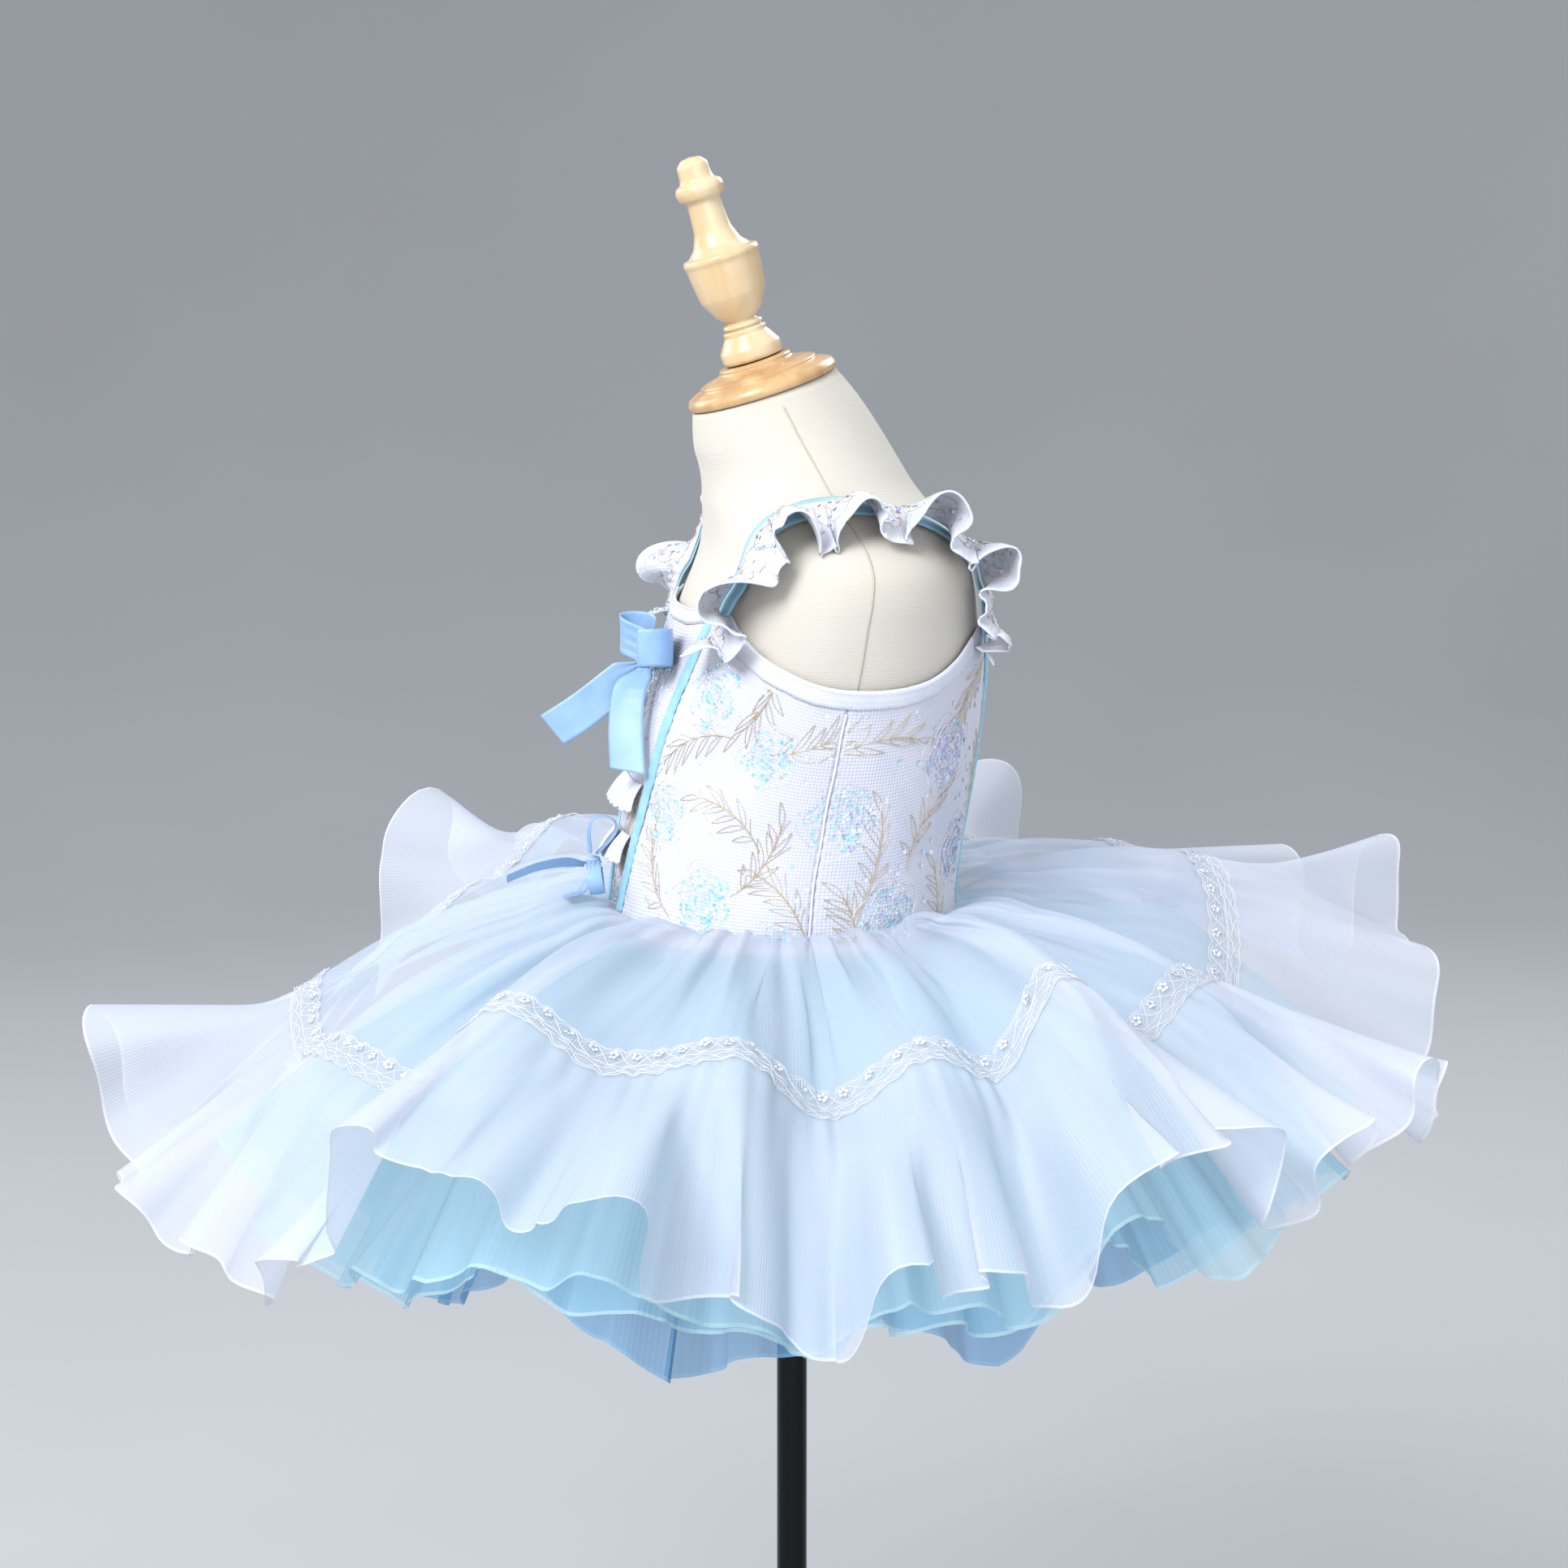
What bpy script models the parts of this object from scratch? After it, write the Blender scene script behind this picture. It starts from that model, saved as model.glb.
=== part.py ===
"""A child's ballet dress on a small dress form with a turned wooden neck block, a pole and a round foot.

Metres, +Z up. The dress faces -Y and its wearer's left is +X. An azimuth is counted in degrees from
the front towards the wearer's left, so 90 is the left side and 180 the back. Heights in the tables are
above the waist seam.
"""

from collections import namedtuple
import math

import bpy
import numpy as np

# Driving dimensions
WAIST = 0.620
CLOTH = 0.0012
SHEER = 0.0010
SEAM_GAP = 0.0004
BODY_EASE = 0.0013
BODICE_FOOT = -0.016
ON_PANEL = BODY_EASE + CLOTH + 0.0006
TRIM_WIDTH = 0.009
BINDING_WIDTH = 0.0100
NECK_BINDING_WIDTH = 0.0080
BINDING_PROUD = 0.0012
STRAP_WIDTH = 0.0120
STRAP_EASE = 0.0008
STRAP_REACH = 0.0600
STRAP_BULGE = 0.0120
STRAP_ENDS = (0.1600, 0.1480)
FRILL_ENDS = (0.1480, 0.1360)
FRILL_WIDTH = 0.0360
WIDE_RIBBON = 0.0190
NARROW_RIBBON = 0.0095
RIBBON = 0.0010
OVERSKIRT_LENGTH = 0.145
FRONT_REACH = 0.027
SKIRT_SEAM = 0.0050
SKIRT_PUFF = 0.0040
FLOUNCE_LENGTH = 0.118
LACE_ABOVE = 0.0090
LACE_BELOW = 0.0060
FOOT_RADIUS = 0.130
POLE_RADIUS = 0.0080
CLEARANCE = 0.0003

Section = namedtuple("Section", "height half_width half_depth middle squareness tilt")
FORM_SECTIONS = [
    Section(-0.140, 0.086, 0.076, -0.004, 2.1, 0),
    Section(-0.128, 0.099, 0.087, -0.004, 2.1, 0),
    Section(-0.075, 0.106, 0.093, -0.005, 2.2, 0),
    Section(-0.030, 0.101, 0.090, -0.006, 2.2, 0),
    Section(0.000, 0.096, 0.086, -0.006, 2.2, 0),
    Section(0.030, 0.094, 0.085, -0.003, 2.2, 0),
    Section(0.066, 0.094, 0.085, 0.003, 2.2, 0),
    Section(0.106, 0.098, 0.083, 0.010, 2.2, 0),
    Section(0.140, 0.104, 0.078, 0.016, 2.2, 0),
    Section(0.158, 0.107, 0.074, 0.018, 2.2, 0),
    Section(0.172, 0.1085, 0.070, 0.020, 2.2, 0),
    Section(0.186, 0.106, 0.0655, 0.0205, 2.2, 0),
    Section(0.196, 0.098, 0.062, 0.0180, 2.15, 0),
    Section(0.204, 0.085, 0.0595, 0.0150, 2.1, 0),
    Section(0.212, 0.071, 0.057, 0.0115, 2.05, 0),
    Section(0.2205, 0.060, 0.054, 0.0080, 2.0, 0),
    Section(0.232, 0.0515, 0.0505, 0.0030, 2.0, 3),
    Section(0.245, 0.0455, 0.0470, -0.0035, 2.0, 8),
    Section(0.258, 0.0405, 0.0425, -0.0095, 2.0, 13),
    Section(0.268, 0.0372, 0.0380, -0.0147, 2.0, 18),
]
FORM_COLUMNS = 36

SeamRow = namedtuple("SeamRow", "height azimuth")
FRONT_SEAM = [
    SeamRow(-0.02, 5.5),
    SeamRow(0.00, 7.5),
    SeamRow(0.033, 12.5),
    SeamRow(0.066, 17.0),
    SeamRow(0.106, 20.5),
    SeamRow(0.147, 25.5),
    SeamRow(0.165, 29.0),
]
BACK_SEAM = [
    SeamRow(-0.02, 169.0),
    SeamRow(0.05, 167.0),
    SeamRow(0.11, 161.0),
    SeamRow(0.16, 154.0),
]
SIDE_SEAM = 87.5

EdgeRow = namedtuple("EdgeRow", "azimuth height")
TOP_EDGE = [
    EdgeRow(0, 0.1580),
    EdgeRow(15, 0.1590),
    EdgeRow(26, 0.1620),
    EdgeRow(32, 0.1630),
    EdgeRow(37, 0.1600),
    EdgeRow(43, 0.1535),
    EdgeRow(54, 0.1432),
    EdgeRow(66, 0.1355),
    EdgeRow(78, 0.1295),
    EdgeRow(90, 0.1270),
    EdgeRow(102, 0.1275),
    EdgeRow(114, 0.1312),
    EdgeRow(125, 0.1390),
    EdgeRow(134, 0.1470),
    EdgeRow(142, 0.1520),
    EdgeRow(148, 0.1535),
    EdgeRow(157, 0.1530),
    EdgeRow(168, 0.1500),
    EdgeRow(180, 0.1490),
]
ARMHOLE = (43.0, 136.0)
FRONT_NECK = 24.0
BACK_NECK = 161.0

# A crest is where the hem stands out, and the valley is halfway to the next crest.
SeamFold = namedtuple("SeamFold", "azimuth crest valley")
OVERSKIRT_FOLDS = [
    SeamFold(-12, -0.044, -0.060),
    SeamFold(20, -0.044, -0.052),
    SeamFold(48, -0.002, -0.028),
    SeamFold(74, -0.018, -0.048),
    SeamFold(95, -0.021, -0.034),
    SeamFold(111, 0.010, -0.030),
    SeamFold(136, -0.008, -0.038),
    SeamFold(182, 0.016, -0.020),
    SeamFold(205, 0.008, -0.025),
    SeamFold(235, 0.000, -0.028),
    SeamFold(262, 0.004, -0.026),
    SeamFold(290, 0.010, -0.022),
    SeamFold(320, -0.040, -0.052),
]
# Crests and valleys here are degrees of droop below the horizontal.
FLOUNCE_FOLDS = [
    SeamFold(-12, 2, 46),
    SeamFold(4, 32, 66),
    SeamFold(20, 48, 66),
    SeamFold(36, 30, 50),
    SeamFold(47, 14, 24),
    SeamFold(57, 8, 26),
    SeamFold(66, 10, 66),
    SeamFold(79, 56, 66),
    SeamFold(89, 22, 56),
    SeamFold(97, 46, 58),
    SeamFold(106, 16, 38),
    SeamFold(116, 20, 38),
    SeamFold(128, 16, 42),
    SeamFold(145, 8, 34),
    SeamFold(160, 12, 34),
    SeamFold(173, 14, 26),
    SeamFold(187, -14, 22),
    SeamFold(205, 2, 42),
    SeamFold(223, 10, 40),
    SeamFold(238, -22, 40),
    SeamFold(265, -4, 40),
    SeamFold(281, -2, 38),
    SeamFold(297, -8, 50),
    SeamFold(319, 46, 60),
    SeamFold(334, 44, 50),
]
GATHERS = 56
GATHER_DEPTH = 0.0022
OVERSKIRT_SHARES = (0.0, 0.30, 0.66, 1.0)
FLOUNCE_SHARES = (0.0, 0.25, 0.60, 1.0)
OVERSKIRT_ARCH = 0.010

Net = namedtuple("Net", "name start drop length droop sway waves phase columns")
NETS = [
    Net("net_upper", 0.004, 0.022, 0.238, 48, 3, 13, 1.3, 75),
    Net("net_middle", 0.008, 0.040, 0.222, 54, 3, 11, 0.5, 75),
    Net("net_lower", 0.012, 0.056, 0.200, 60, 3, 9, 2.0, 75),
]
HemPoint = namedtuple("HemPoint", "net azimuth spread length")
HEM_POINTS = [
    HemPoint("net_lower", 68, 17, 0.034),
    HemPoint("net_lower", 103, 13, 0.024),
    HemPoint("net_upper", 46, 10, 0.014),
    HemPoint("net_upper", 124, 10, 0.014),
    HemPoint("net_lower", 20, 14, 0.010),
    HemPoint("net_lower", 160, 14, 0.012),
    HemPoint("net_middle", 215, 14, 0.010),
    HemPoint("net_lower", 262, 14, 0.014),
    HemPoint("net_upper", 305, 10, 0.008),
]
NET_KNEE = (0.40, 0.64)
NET_FOLLOWS = 0.36
NET_PLEATS = 15
NET_PLEAT = 6
MIDDLE_DROOP = 40
STEPS = 24

TurnedRow = namedtuple("TurnedRow", "radius along")
NECK_TILT = 18.0
CAP_ROWS = [
    TurnedRow(0.0, 0.0160),
    TurnedRow(0.0175, 0.0160),
    TurnedRow(0.0189, 0.0150),
    TurnedRow(0.0189, 0.0138),
    TurnedRow(0.0200, 0.0128),
    TurnedRow(0.0280, 0.0108),
    TurnedRow(0.0305, 0.0098),
    TurnedRow(0.0305, 0.0084),
    TurnedRow(0.0335, 0.0078),
    TurnedRow(0.0378, 0.0058),
    TurnedRow(0.0392, 0.0032),
    TurnedRow(0.0388, 0.0008),
    TurnedRow(0.0370, 0.0),
    TurnedRow(0.0, 0.0),
]
FINIAL_ROWS = [
    TurnedRow(0.0, 0.1217),
    TurnedRow(0.0050, 0.1210),
    TurnedRow(0.0080, 0.1180),
    TurnedRow(0.0083, 0.1120),
    TurnedRow(0.0090, 0.1096),
    TurnedRow(0.0118, 0.1080),
    TurnedRow(0.0127, 0.1050),
    TurnedRow(0.0116, 0.1014),
    TurnedRow(0.0088, 0.0995),
    TurnedRow(0.0088, 0.0940),
    TurnedRow(0.0097, 0.0839),
    TurnedRow(0.0125, 0.0768),
    TurnedRow(0.0165, 0.0728),
    TurnedRow(0.0192, 0.0722),
    TurnedRow(0.0199, 0.0700),
    TurnedRow(0.0190, 0.0676),
    TurnedRow(0.0186, 0.0620),
    TurnedRow(0.0170, 0.0500),
    TurnedRow(0.0118, 0.0406),
    TurnedRow(0.0072, 0.0368),
    TurnedRow(0.0100, 0.0354),
    TurnedRow(0.0104, 0.0340),
    TurnedRow(0.0090, 0.0330),
    TurnedRow(0.0112, 0.0320),
    TurnedRow(0.0110, 0.0298),
    TurnedRow(0.0120, 0.0284),
    TurnedRow(0.0158, 0.0225),
    TurnedRow(0.0156, 0.0180),
    TurnedRow(0.0145, 0.0163),
    TurnedRow(0.0, 0.0163),
]
FOOT_ROWS = [
    TurnedRow(0.0, 0.0200),
    TurnedRow(0.0160, 0.0200),
    TurnedRow(0.0185, 0.0180),
    TurnedRow(0.0200, 0.0095),
    TurnedRow(FOOT_RADIUS - 0.008, 0.0060),
    TurnedRow(FOOT_RADIUS - 0.001, 0.0045),
    TurnedRow(FOOT_RADIUS, 0.0020),
    TurnedRow(FOOT_RADIUS - 0.001, 0.0),
    TurnedRow(0.0, 0.0),
]


# Materials: name, colour, roughness, metallic
def material(name, colour, roughness, metallic=0.0):
    made = bpy.data.materials.new(name)
    made.use_nodes = True
    shader = made.node_tree.nodes["Principled BSDF"]
    shader.inputs["Base Color"].default_value = (*colour, 1.0)
    shader.inputs["Roughness"].default_value = roughness
    shader.inputs["Metallic"].default_value = metallic
    return made


# Tables and smooth curves through them
def through(rows, key, value, at):
    """The value column at a place in the key column, on a smooth curve through the rows."""
    keys = np.array([getattr(row, key) for row in rows], float)
    values = np.array([getattr(row, value) for row in rows], float)
    slopes = np.gradient(values, keys)
    at = np.clip(np.asarray(at, float), keys[0], keys[-1])
    i = np.clip(np.searchsorted(keys, at) - 1, 0, len(keys) - 2)
    span = keys[i + 1] - keys[i]
    t = (at - keys[i]) / span
    start = (2 * t**3 - 3 * t**2 + 1) * values[i] + (t**3 - 2 * t**2 + t) * span * slopes[i]
    end = (3 * t**2 - 2 * t**3) * values[i + 1] + (t**3 - t**2) * span * slopes[i + 1]
    return start + end


def folded(rows, azimuth):
    """The height or droop at an azimuth, eased from each crest to the valley after it and so on."""
    crests = np.array([row.azimuth for row in rows], float)
    following = np.append(crests[1:], crests[0] + 360)
    places = np.stack([crests, (crests + following) / 2], axis=1).ravel()
    values = np.array([[row.crest, row.valley] for row in rows], float).ravel()
    places = np.append(places, places[0] + 360)
    values = np.append(values, values[0])
    at = (np.asarray(azimuth, float) - places[0]) % 360 + places[0]
    i = np.clip(np.searchsorted(places, at, side="right") - 1, 0, len(places) - 2)
    t = (at - places[i]) / (places[i + 1] - places[i])
    return values[i] + (values[i + 1] - values[i]) * (1 - np.cos(math.pi * t)) / 2


def eased(t):
    t = np.clip(t, 0, 1)
    return t * t * (3 - 2 * t)


def unit(vectors):
    return vectors / np.linalg.norm(vectors, axis=-1, keepdims=True)


# The dress form's surface
def ring_point(azimuth, height):
    turn = np.radians(azimuth)
    width, depth, middle, squareness, tilt = (
        through(FORM_SECTIONS, "height", column, height)
        for column in ("half_width", "half_depth", "middle", "squareness", "tilt")
    )
    power = 2 / squareness
    across = width * np.sign(np.sin(turn)) * np.abs(np.sin(turn)) ** power
    along = -depth * np.sign(np.cos(turn)) * np.abs(np.cos(turn)) ** power
    lean = np.radians(tilt)
    level = WAIST + np.asarray(height, float)
    return np.stack(
        np.broadcast_arrays(across, middle + along * np.cos(lean), level + along * np.sin(lean)), axis=-1
    )


def torso(azimuth, height, out=0.0):
    """A point above the form's surface, out metres along the surface's normal."""
    azimuth, height, out = np.broadcast_arrays(*(np.asarray(v, float) for v in (azimuth, height, out)))
    small_turn, small_rise = 0.5, 0.001
    round_it = ring_point(azimuth + small_turn, height) - ring_point(azimuth - small_turn, height)
    upward = ring_point(azimuth, height + small_rise) - ring_point(azimuth, height - small_rise)
    return ring_point(azimuth, height) + unit(np.cross(round_it, upward)) * out[..., None]


def half_width_at(height):
    return through(FORM_SECTIONS, "height", "half_width", height)


def shoulder_height(x, y):
    """The form's height above the waist over a point of its plan, at the shoulder."""
    x, y = np.broadcast_arrays(np.asarray(x, float), np.asarray(y, float))
    low, high = np.full(x.shape, 0.100), np.full(x.shape, 0.255)
    for _ in range(40):
        middle_height = (low + high) / 2
        width, depth, middle, squareness = (
            through(FORM_SECTIONS, "height", column, middle_height)
            for column in ("half_width", "half_depth", "middle", "squareness")
        )
        inside = (np.abs(x) / width) ** squareness + (np.abs(y - middle) / depth) ** squareness < 1
        low, high = np.where(inside, middle_height, low), np.where(inside, high, middle_height)
    return (low + high) / 2


def over_shoulder(x, y):
    """The form's surface there, with its normal."""
    reach = 0.0005
    height = shoulder_height(x, y)
    slope_x = (shoulder_height(x + reach, y) - shoulder_height(x - reach, y)) / (2 * reach)
    slope_y = (shoulder_height(x, y + reach) - shoulder_height(x, y - reach)) / (2 * reach)
    point = np.stack(np.broadcast_arrays(x, y, WAIST + height), axis=-1)
    return point, unit(np.stack([-slope_x, -slope_y, np.ones_like(slope_x)], axis=-1))


# Meshes
def add_object(name, points, faces, surface):
    mesh = bpy.data.meshes.new(name)
    mesh.from_pydata([tuple(p) for p in np.asarray(points, float)], [], faces)
    mesh.validate()
    mesh.materials.append(surface)
    made = bpy.data.objects.new(name, mesh)
    bpy.context.scene.collection.objects.link(made)
    return made


def grid_faces(columns, rows, closed):
    steps = range(columns if closed else columns - 1)
    return [
        (i * rows + j, (i + 1) % columns * rows + j, (i + 1) % columns * rows + j + 1, i * rows + j + 1)
        for i in steps
        for j in range(rows - 1)
    ]


def cloth_wall(name, grid, surface, thickness=CLOTH, closed=False, outward=1.0):
    """A wall of cloth through a grid of points, columns by rows. outward 1 keeps them on its inner face."""
    columns, rows, _ = grid.shape
    made = add_object(name, grid.reshape(-1, 3), grid_faces(columns, rows, closed), surface)
    wall = made.modifiers.new("wall", "SOLIDIFY")
    wall.thickness = thickness
    wall.offset = outward
    return made


def loft(name, grid, surface):
    """A closed solid through rings of points, columns by rings, with flat ends."""
    columns, rows, _ = grid.shape
    faces = []
    for i, (a, b, c, d) in enumerate(grid_faces(columns, rows, True)):
        mirrored = i >= columns * (rows - 1) // 2
        faces += [(a, b, d), (b, c, d)] if mirrored else [(a, b, c), (a, c, d)]
    faces.append([i * rows for i in range(columns)][::-1])
    faces.append([i * rows + rows - 1 for i in range(columns)])
    return add_object(name, grid.reshape(-1, 3), faces, surface)


def turned(name, rows, surface, steps):
    """A solid turned about its own Z axis from rows that run from its top centre down its outer side."""
    points = [(row.radius, 0.0, row.along) for row in rows]
    mesh = bpy.data.meshes.new(name)
    mesh.from_pydata(points, [(i, i + 1) for i in range(len(points) - 1)], [])
    mesh.materials.append(surface)
    made = bpy.data.objects.new(name, mesh)
    bpy.context.scene.collection.objects.link(made)
    screw = made.modifiers.new("turn", "SCREW")
    screw.steps = screw.render_steps = steps
    screw.use_merge_vertices = True
    screw.merge_threshold = 0.00001
    screw.use_smooth_shade = True
    return made


# The form and its stand
def make_form(surface):
    turn = np.linspace(0, 360, FORM_COLUMNS, endpoint=False)[:, None]
    heights = np.array([row.height for row in FORM_SECTIONS])[None, :]
    loft("form_body", ring_point(turn, heights), surface)


def make_neck_block(surface):
    top = FORM_SECTIONS[-1]
    lean = math.radians(NECK_TILT)
    axis = np.array([0.0, -math.sin(lean), math.cos(lean)])
    seat = np.array([0.0, top.middle, WAIST + top.height])
    for name, rows, steps, lift in (
        ("neck_cap", CAP_ROWS, 24, CLEARANCE),
        ("neck_finial", FINIAL_ROWS, 16, 2 * CLEARANCE),
    ):
        piece = turned(name, rows, surface, steps)
        piece.location = seat + axis * lift
        piece.rotation_euler = (lean, 0, 0)


def make_stand(surface):
    turned("stand_foot", FOOT_ROWS, surface, 30)
    form_foot = WAIST + FORM_SECTIONS[0].height
    foot_top = FOOT_ROWS[0].along
    pole = [
        TurnedRow(0.0, form_foot - CLEARANCE),
        TurnedRow(POLE_RADIUS, form_foot - CLEARANCE),
        TurnedRow(POLE_RADIUS, foot_top + CLEARANCE),
        TurnedRow(0.0, foot_top + CLEARANCE),
    ]
    turned("stand_pole", pole, surface, 20)
    bore = POLE_RADIUS + CLEARANCE
    flange = form_foot - CLEARANCE
    socket = [
        TurnedRow(bore, flange),
        TurnedRow(0.030, flange),
        TurnedRow(0.030, flange - 0.004),
        TurnedRow(0.015, flange - 0.009),
        TurnedRow(0.0135, flange - 0.030),
        TurnedRow(bore, flange - 0.030),
        TurnedRow(bore, flange),
    ]
    turned("stand_socket", socket, surface, 20)


# The bodice
def top_edge(azimuth):
    folded_back = np.abs((np.asarray(azimuth, float) + 180) % 360 - 180)
    return through(TOP_EDGE, "azimuth", "height", folded_back)


def panel(name, left, right, surface, columns, rows):
    """A bodice panel between two seams, from the waist's seam allowance up to the neck or armhole edge."""
    share = np.linspace(0, 1, columns)[:, None]
    waist_row = (SKIRT_SEAM - BODICE_FOOT) / (0.15 - BODICE_FOOT)
    rise = np.append(0, np.linspace(waist_row, 1, rows - 1))[None, :]
    height = BODICE_FOOT + rise * (0.15 - BODICE_FOOT) + 0 * share
    for _ in range(6):
        gap = np.degrees(SEAM_GAP / 2 / half_width_at(height))
        azimuth = (left(height) + gap) * (1 - share) + (right(height) - gap) * share
        height = BODICE_FOOT + rise * (top_edge(azimuth) - BODICE_FOOT)
    cloth_wall(name, torso(azimuth, height, BODY_EASE), surface)


def front_seam(height):
    return through(FRONT_SEAM, "height", "azimuth", height)


def back_seam(height):
    return through(BACK_SEAM, "height", "azimuth", height)


def make_bodice(surface):
    side = np.vectorize(lambda height: SIDE_SEAM)
    panel("bodice_front_centre", lambda h: -front_seam(h), front_seam, surface, 7, 7)
    panel("bodice_back_centre", back_seam, lambda h: 360 - back_seam(h), surface, 7, 7)
    panel("bodice_front_left", front_seam, side, surface, 9, 7)
    panel("bodice_back_left", side, back_seam, surface, 9, 7)
    panel("bodice_back_right", lambda h: 360 - back_seam(h), lambda h: 360 - side(h), surface, 9, 7)
    panel("bodice_front_right", lambda h: -side(h), lambda h: -front_seam(h), surface, 9, 7)


def edge_binding(name, start, end, width, surface, columns):
    """A binding over a top edge, which stands a little proud of it."""
    azimuth = np.linspace(start, end, columns)[:, None]
    drop = np.array([BINDING_PROUD - width, BINDING_PROUD])[None, :]
    height = top_edge(azimuth) + drop
    cloth_wall(name, torso(azimuth + 0 * drop, height, ON_PANEL), surface, SHEER)


def make_bindings(surface):
    edge_binding("armhole_binding_left", *ARMHOLE, BINDING_WIDTH, surface, 17)
    edge_binding("armhole_binding_right", 360 - ARMHOLE[1], 360 - ARMHOLE[0], BINDING_WIDTH, surface, 17)
    edge_binding("neck_binding_front", -FRONT_NECK, FRONT_NECK, NECK_BINDING_WIDTH, surface, 11)
    edge_binding("neck_binding_back", BACK_NECK, 360 - BACK_NECK, NECK_BINDING_WIDTH, surface, 9)


def seam_trim(name, seam, top, mirrored, surface):
    """A ribbon laid along a bodice seam."""
    height = np.linspace(SKIRT_SEAM + 0.003, top, 13)[:, None]
    half = np.degrees(TRIM_WIDTH / 2 / half_width_at(height))
    azimuth = seam(height) + half * np.array([[-1.0, 1.0]])
    grid = torso(azimuth, height + 0 * azimuth, ON_PANEL + CLEARANCE)[:, ::-1]
    if mirrored:
        grid = grid[:, ::-1] * [-1, 1, 1]
    cloth_wall(name, grid, surface, SHEER)


def make_trims(surface):
    for side, mirrored in (("left", False), ("right", True)):
        seam_trim(f"front_trim_{side}", front_seam, 0.1585, mirrored, surface)
        seam_trim(f"back_trim_{side}", back_seam, 0.1465, mirrored, surface)


# The straps and their frills
def strap_middle(share):
    return STRAP_REACH + STRAP_BULGE * np.sin(math.pi * share) - 0.004 * share


def shoulder_end(x, height, side):
    """Where the form's surface is at a height, in front of or behind a point of the shoulder."""
    width, depth, middle, squareness = (
        float(through(FORM_SECTIONS, "height", column, height))
        for column in ("half_width", "half_depth", "middle", "squareness")
    )
    return middle + side * depth * (1 - (x / width) ** squareness) ** (1 / squareness)


def across_shoulder(share, x, front_height, back_height):
    """How far back a line over the shoulder is, from one height in front to another behind."""
    front, back = shoulder_end(x, front_height, -1), shoulder_end(x, back_height, 1)
    return front + (back - front) * (1 - np.cos(math.pi * share)) / 2


def strap_lift(level):
    """How far a strap is off the form: just clear of it, and on top of the panels at its two ends."""
    over_panel = eased((WAIST + 0.176 - level) / 0.010)
    return BODY_EASE + STRAP_EASE + (ON_PANEL - BODY_EASE) * over_panel


def make_strap(side, sign, surface):
    share = np.linspace(0, 1, 17)[:, None]
    x = strap_middle(share) + np.array([[-0.5, 0.5]]) * STRAP_WIDTH
    point, normal = over_shoulder(x, across_shoulder(share, x, *STRAP_ENDS))
    grid = (point + normal * strap_lift(point[..., 2:])) * [sign, 1, 1]
    cloth_wall(f"strap_{side}", grid if sign < 0 else grid[:, ::-1], surface)


# Slopes in degrees above the shoulder's surface: where the frill lies close, and where a wave lifts it.
FRILL_WAVES = 6
FRILL_CLOSE = (21, -21)
FRILL_LIFTED = (66, 22)
FRILL_COLUMNS = 58
FRILL_ROWS = (0.0, 0.5, 1.0)
FRILL_STEPS = 24
FRILL_SEAM = -0.0025


def frill_grid(columns, rows):
    """The left frill: sewn along the strap, it falls over the shoulder and its waves are lifted."""
    share = np.linspace(0, 1, columns)
    x = strap_middle(share) + FRILL_SEAM
    base, normal = over_shoulder(x, across_shoulder(share, x, *FRILL_ENDS))
    path = unit(np.gradient(base, axis=0))
    outward = unit(np.cross(path, normal))
    lift = strap_lift(base[:, 2]) + CLOTH + SHEER / 2 + 2 * CLEARANCE
    phase = 2 * math.pi * FRILL_WAVES * share + 0.8 * np.sin(5.0 * share)
    wave = ((0.5 + 0.5 * np.cos(phase)) ** 1.6 * (0.84 + 0.16 * np.sin(11 * share + 0.5)))[:, None]
    reach = np.linspace(0, 1, FRILL_STEPS + 1)[None, :]
    close = FRILL_CLOSE[0] + (FRILL_CLOSE[1] - FRILL_CLOSE[0]) * reach
    lifted = FRILL_LIFTED[0] + (FRILL_LIFTED[1] - FRILL_LIFTED[0]) * reach
    slope = np.radians(close + (lifted - close) * wave)
    width = FRILL_WIDTH * (0.45 + 0.55 * eased(share / 0.10) * eased((1 - share) / 0.06))
    step = (width / FRILL_STEPS)[:, None]
    middle = (slope[:, 1:] + slope[:, :-1]) / 2
    start = np.zeros((columns, 1))
    out = np.concatenate([start, np.cumsum(np.cos(middle) * step, axis=1)], axis=1)[..., None]
    up = np.concatenate([start, np.cumsum(np.sin(middle) * step, axis=1)], axis=1)[..., None]
    swing = (0.10 * np.sin(2 * phase) * width)[:, None, None] * reach[..., None] ** 2
    grid = (base + normal * lift[:, None])[:, None, :] + outward[:, None, :] * out
    grid = grid + normal[:, None, :] * up + path[:, None, :] * swing
    picked = [round(share * FRILL_STEPS) for share in rows]
    return grid[:, picked]


def make_frills(surface):
    grid = frill_grid(FRILL_COLUMNS, FRILL_ROWS)
    cloth_wall("strap_frill_left", grid, surface, SHEER, outward=0.0)
    cloth_wall("strap_frill_right", grid * [-1, 1, 1], surface, SHEER, outward=0.0)


# The lace across the front panel
LaceRow = namedtuple("LaceRow", "name height half_angle")
FRONT_LACE = [LaceRow("front_lace_upper", 0.071, 13.2), LaceRow("front_lace_lower", 0.044, 10.3)]
FRONT_LACE_DROP = 0.014


def front_lace_grid(row, columns, rows):
    share = np.linspace(-1, 1, columns)[:, None]
    drop = np.asarray(rows)[None, :]
    wave = 0.5 + 0.5 * np.cos(5 * math.pi * share)
    out = ON_PANEL + 0.0006 + drop * (0.0030 + 0.0050 * wave)
    return torso(share * row.half_angle + 0 * drop, row.height - FRONT_LACE_DROP * drop, out)


def make_front_lace(surface):
    for row in FRONT_LACE:
        cloth_wall(row.name, front_lace_grid(row, 25, (1.0, 0.5, 0.0)), surface, SHEER, outward=0.0)


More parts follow.
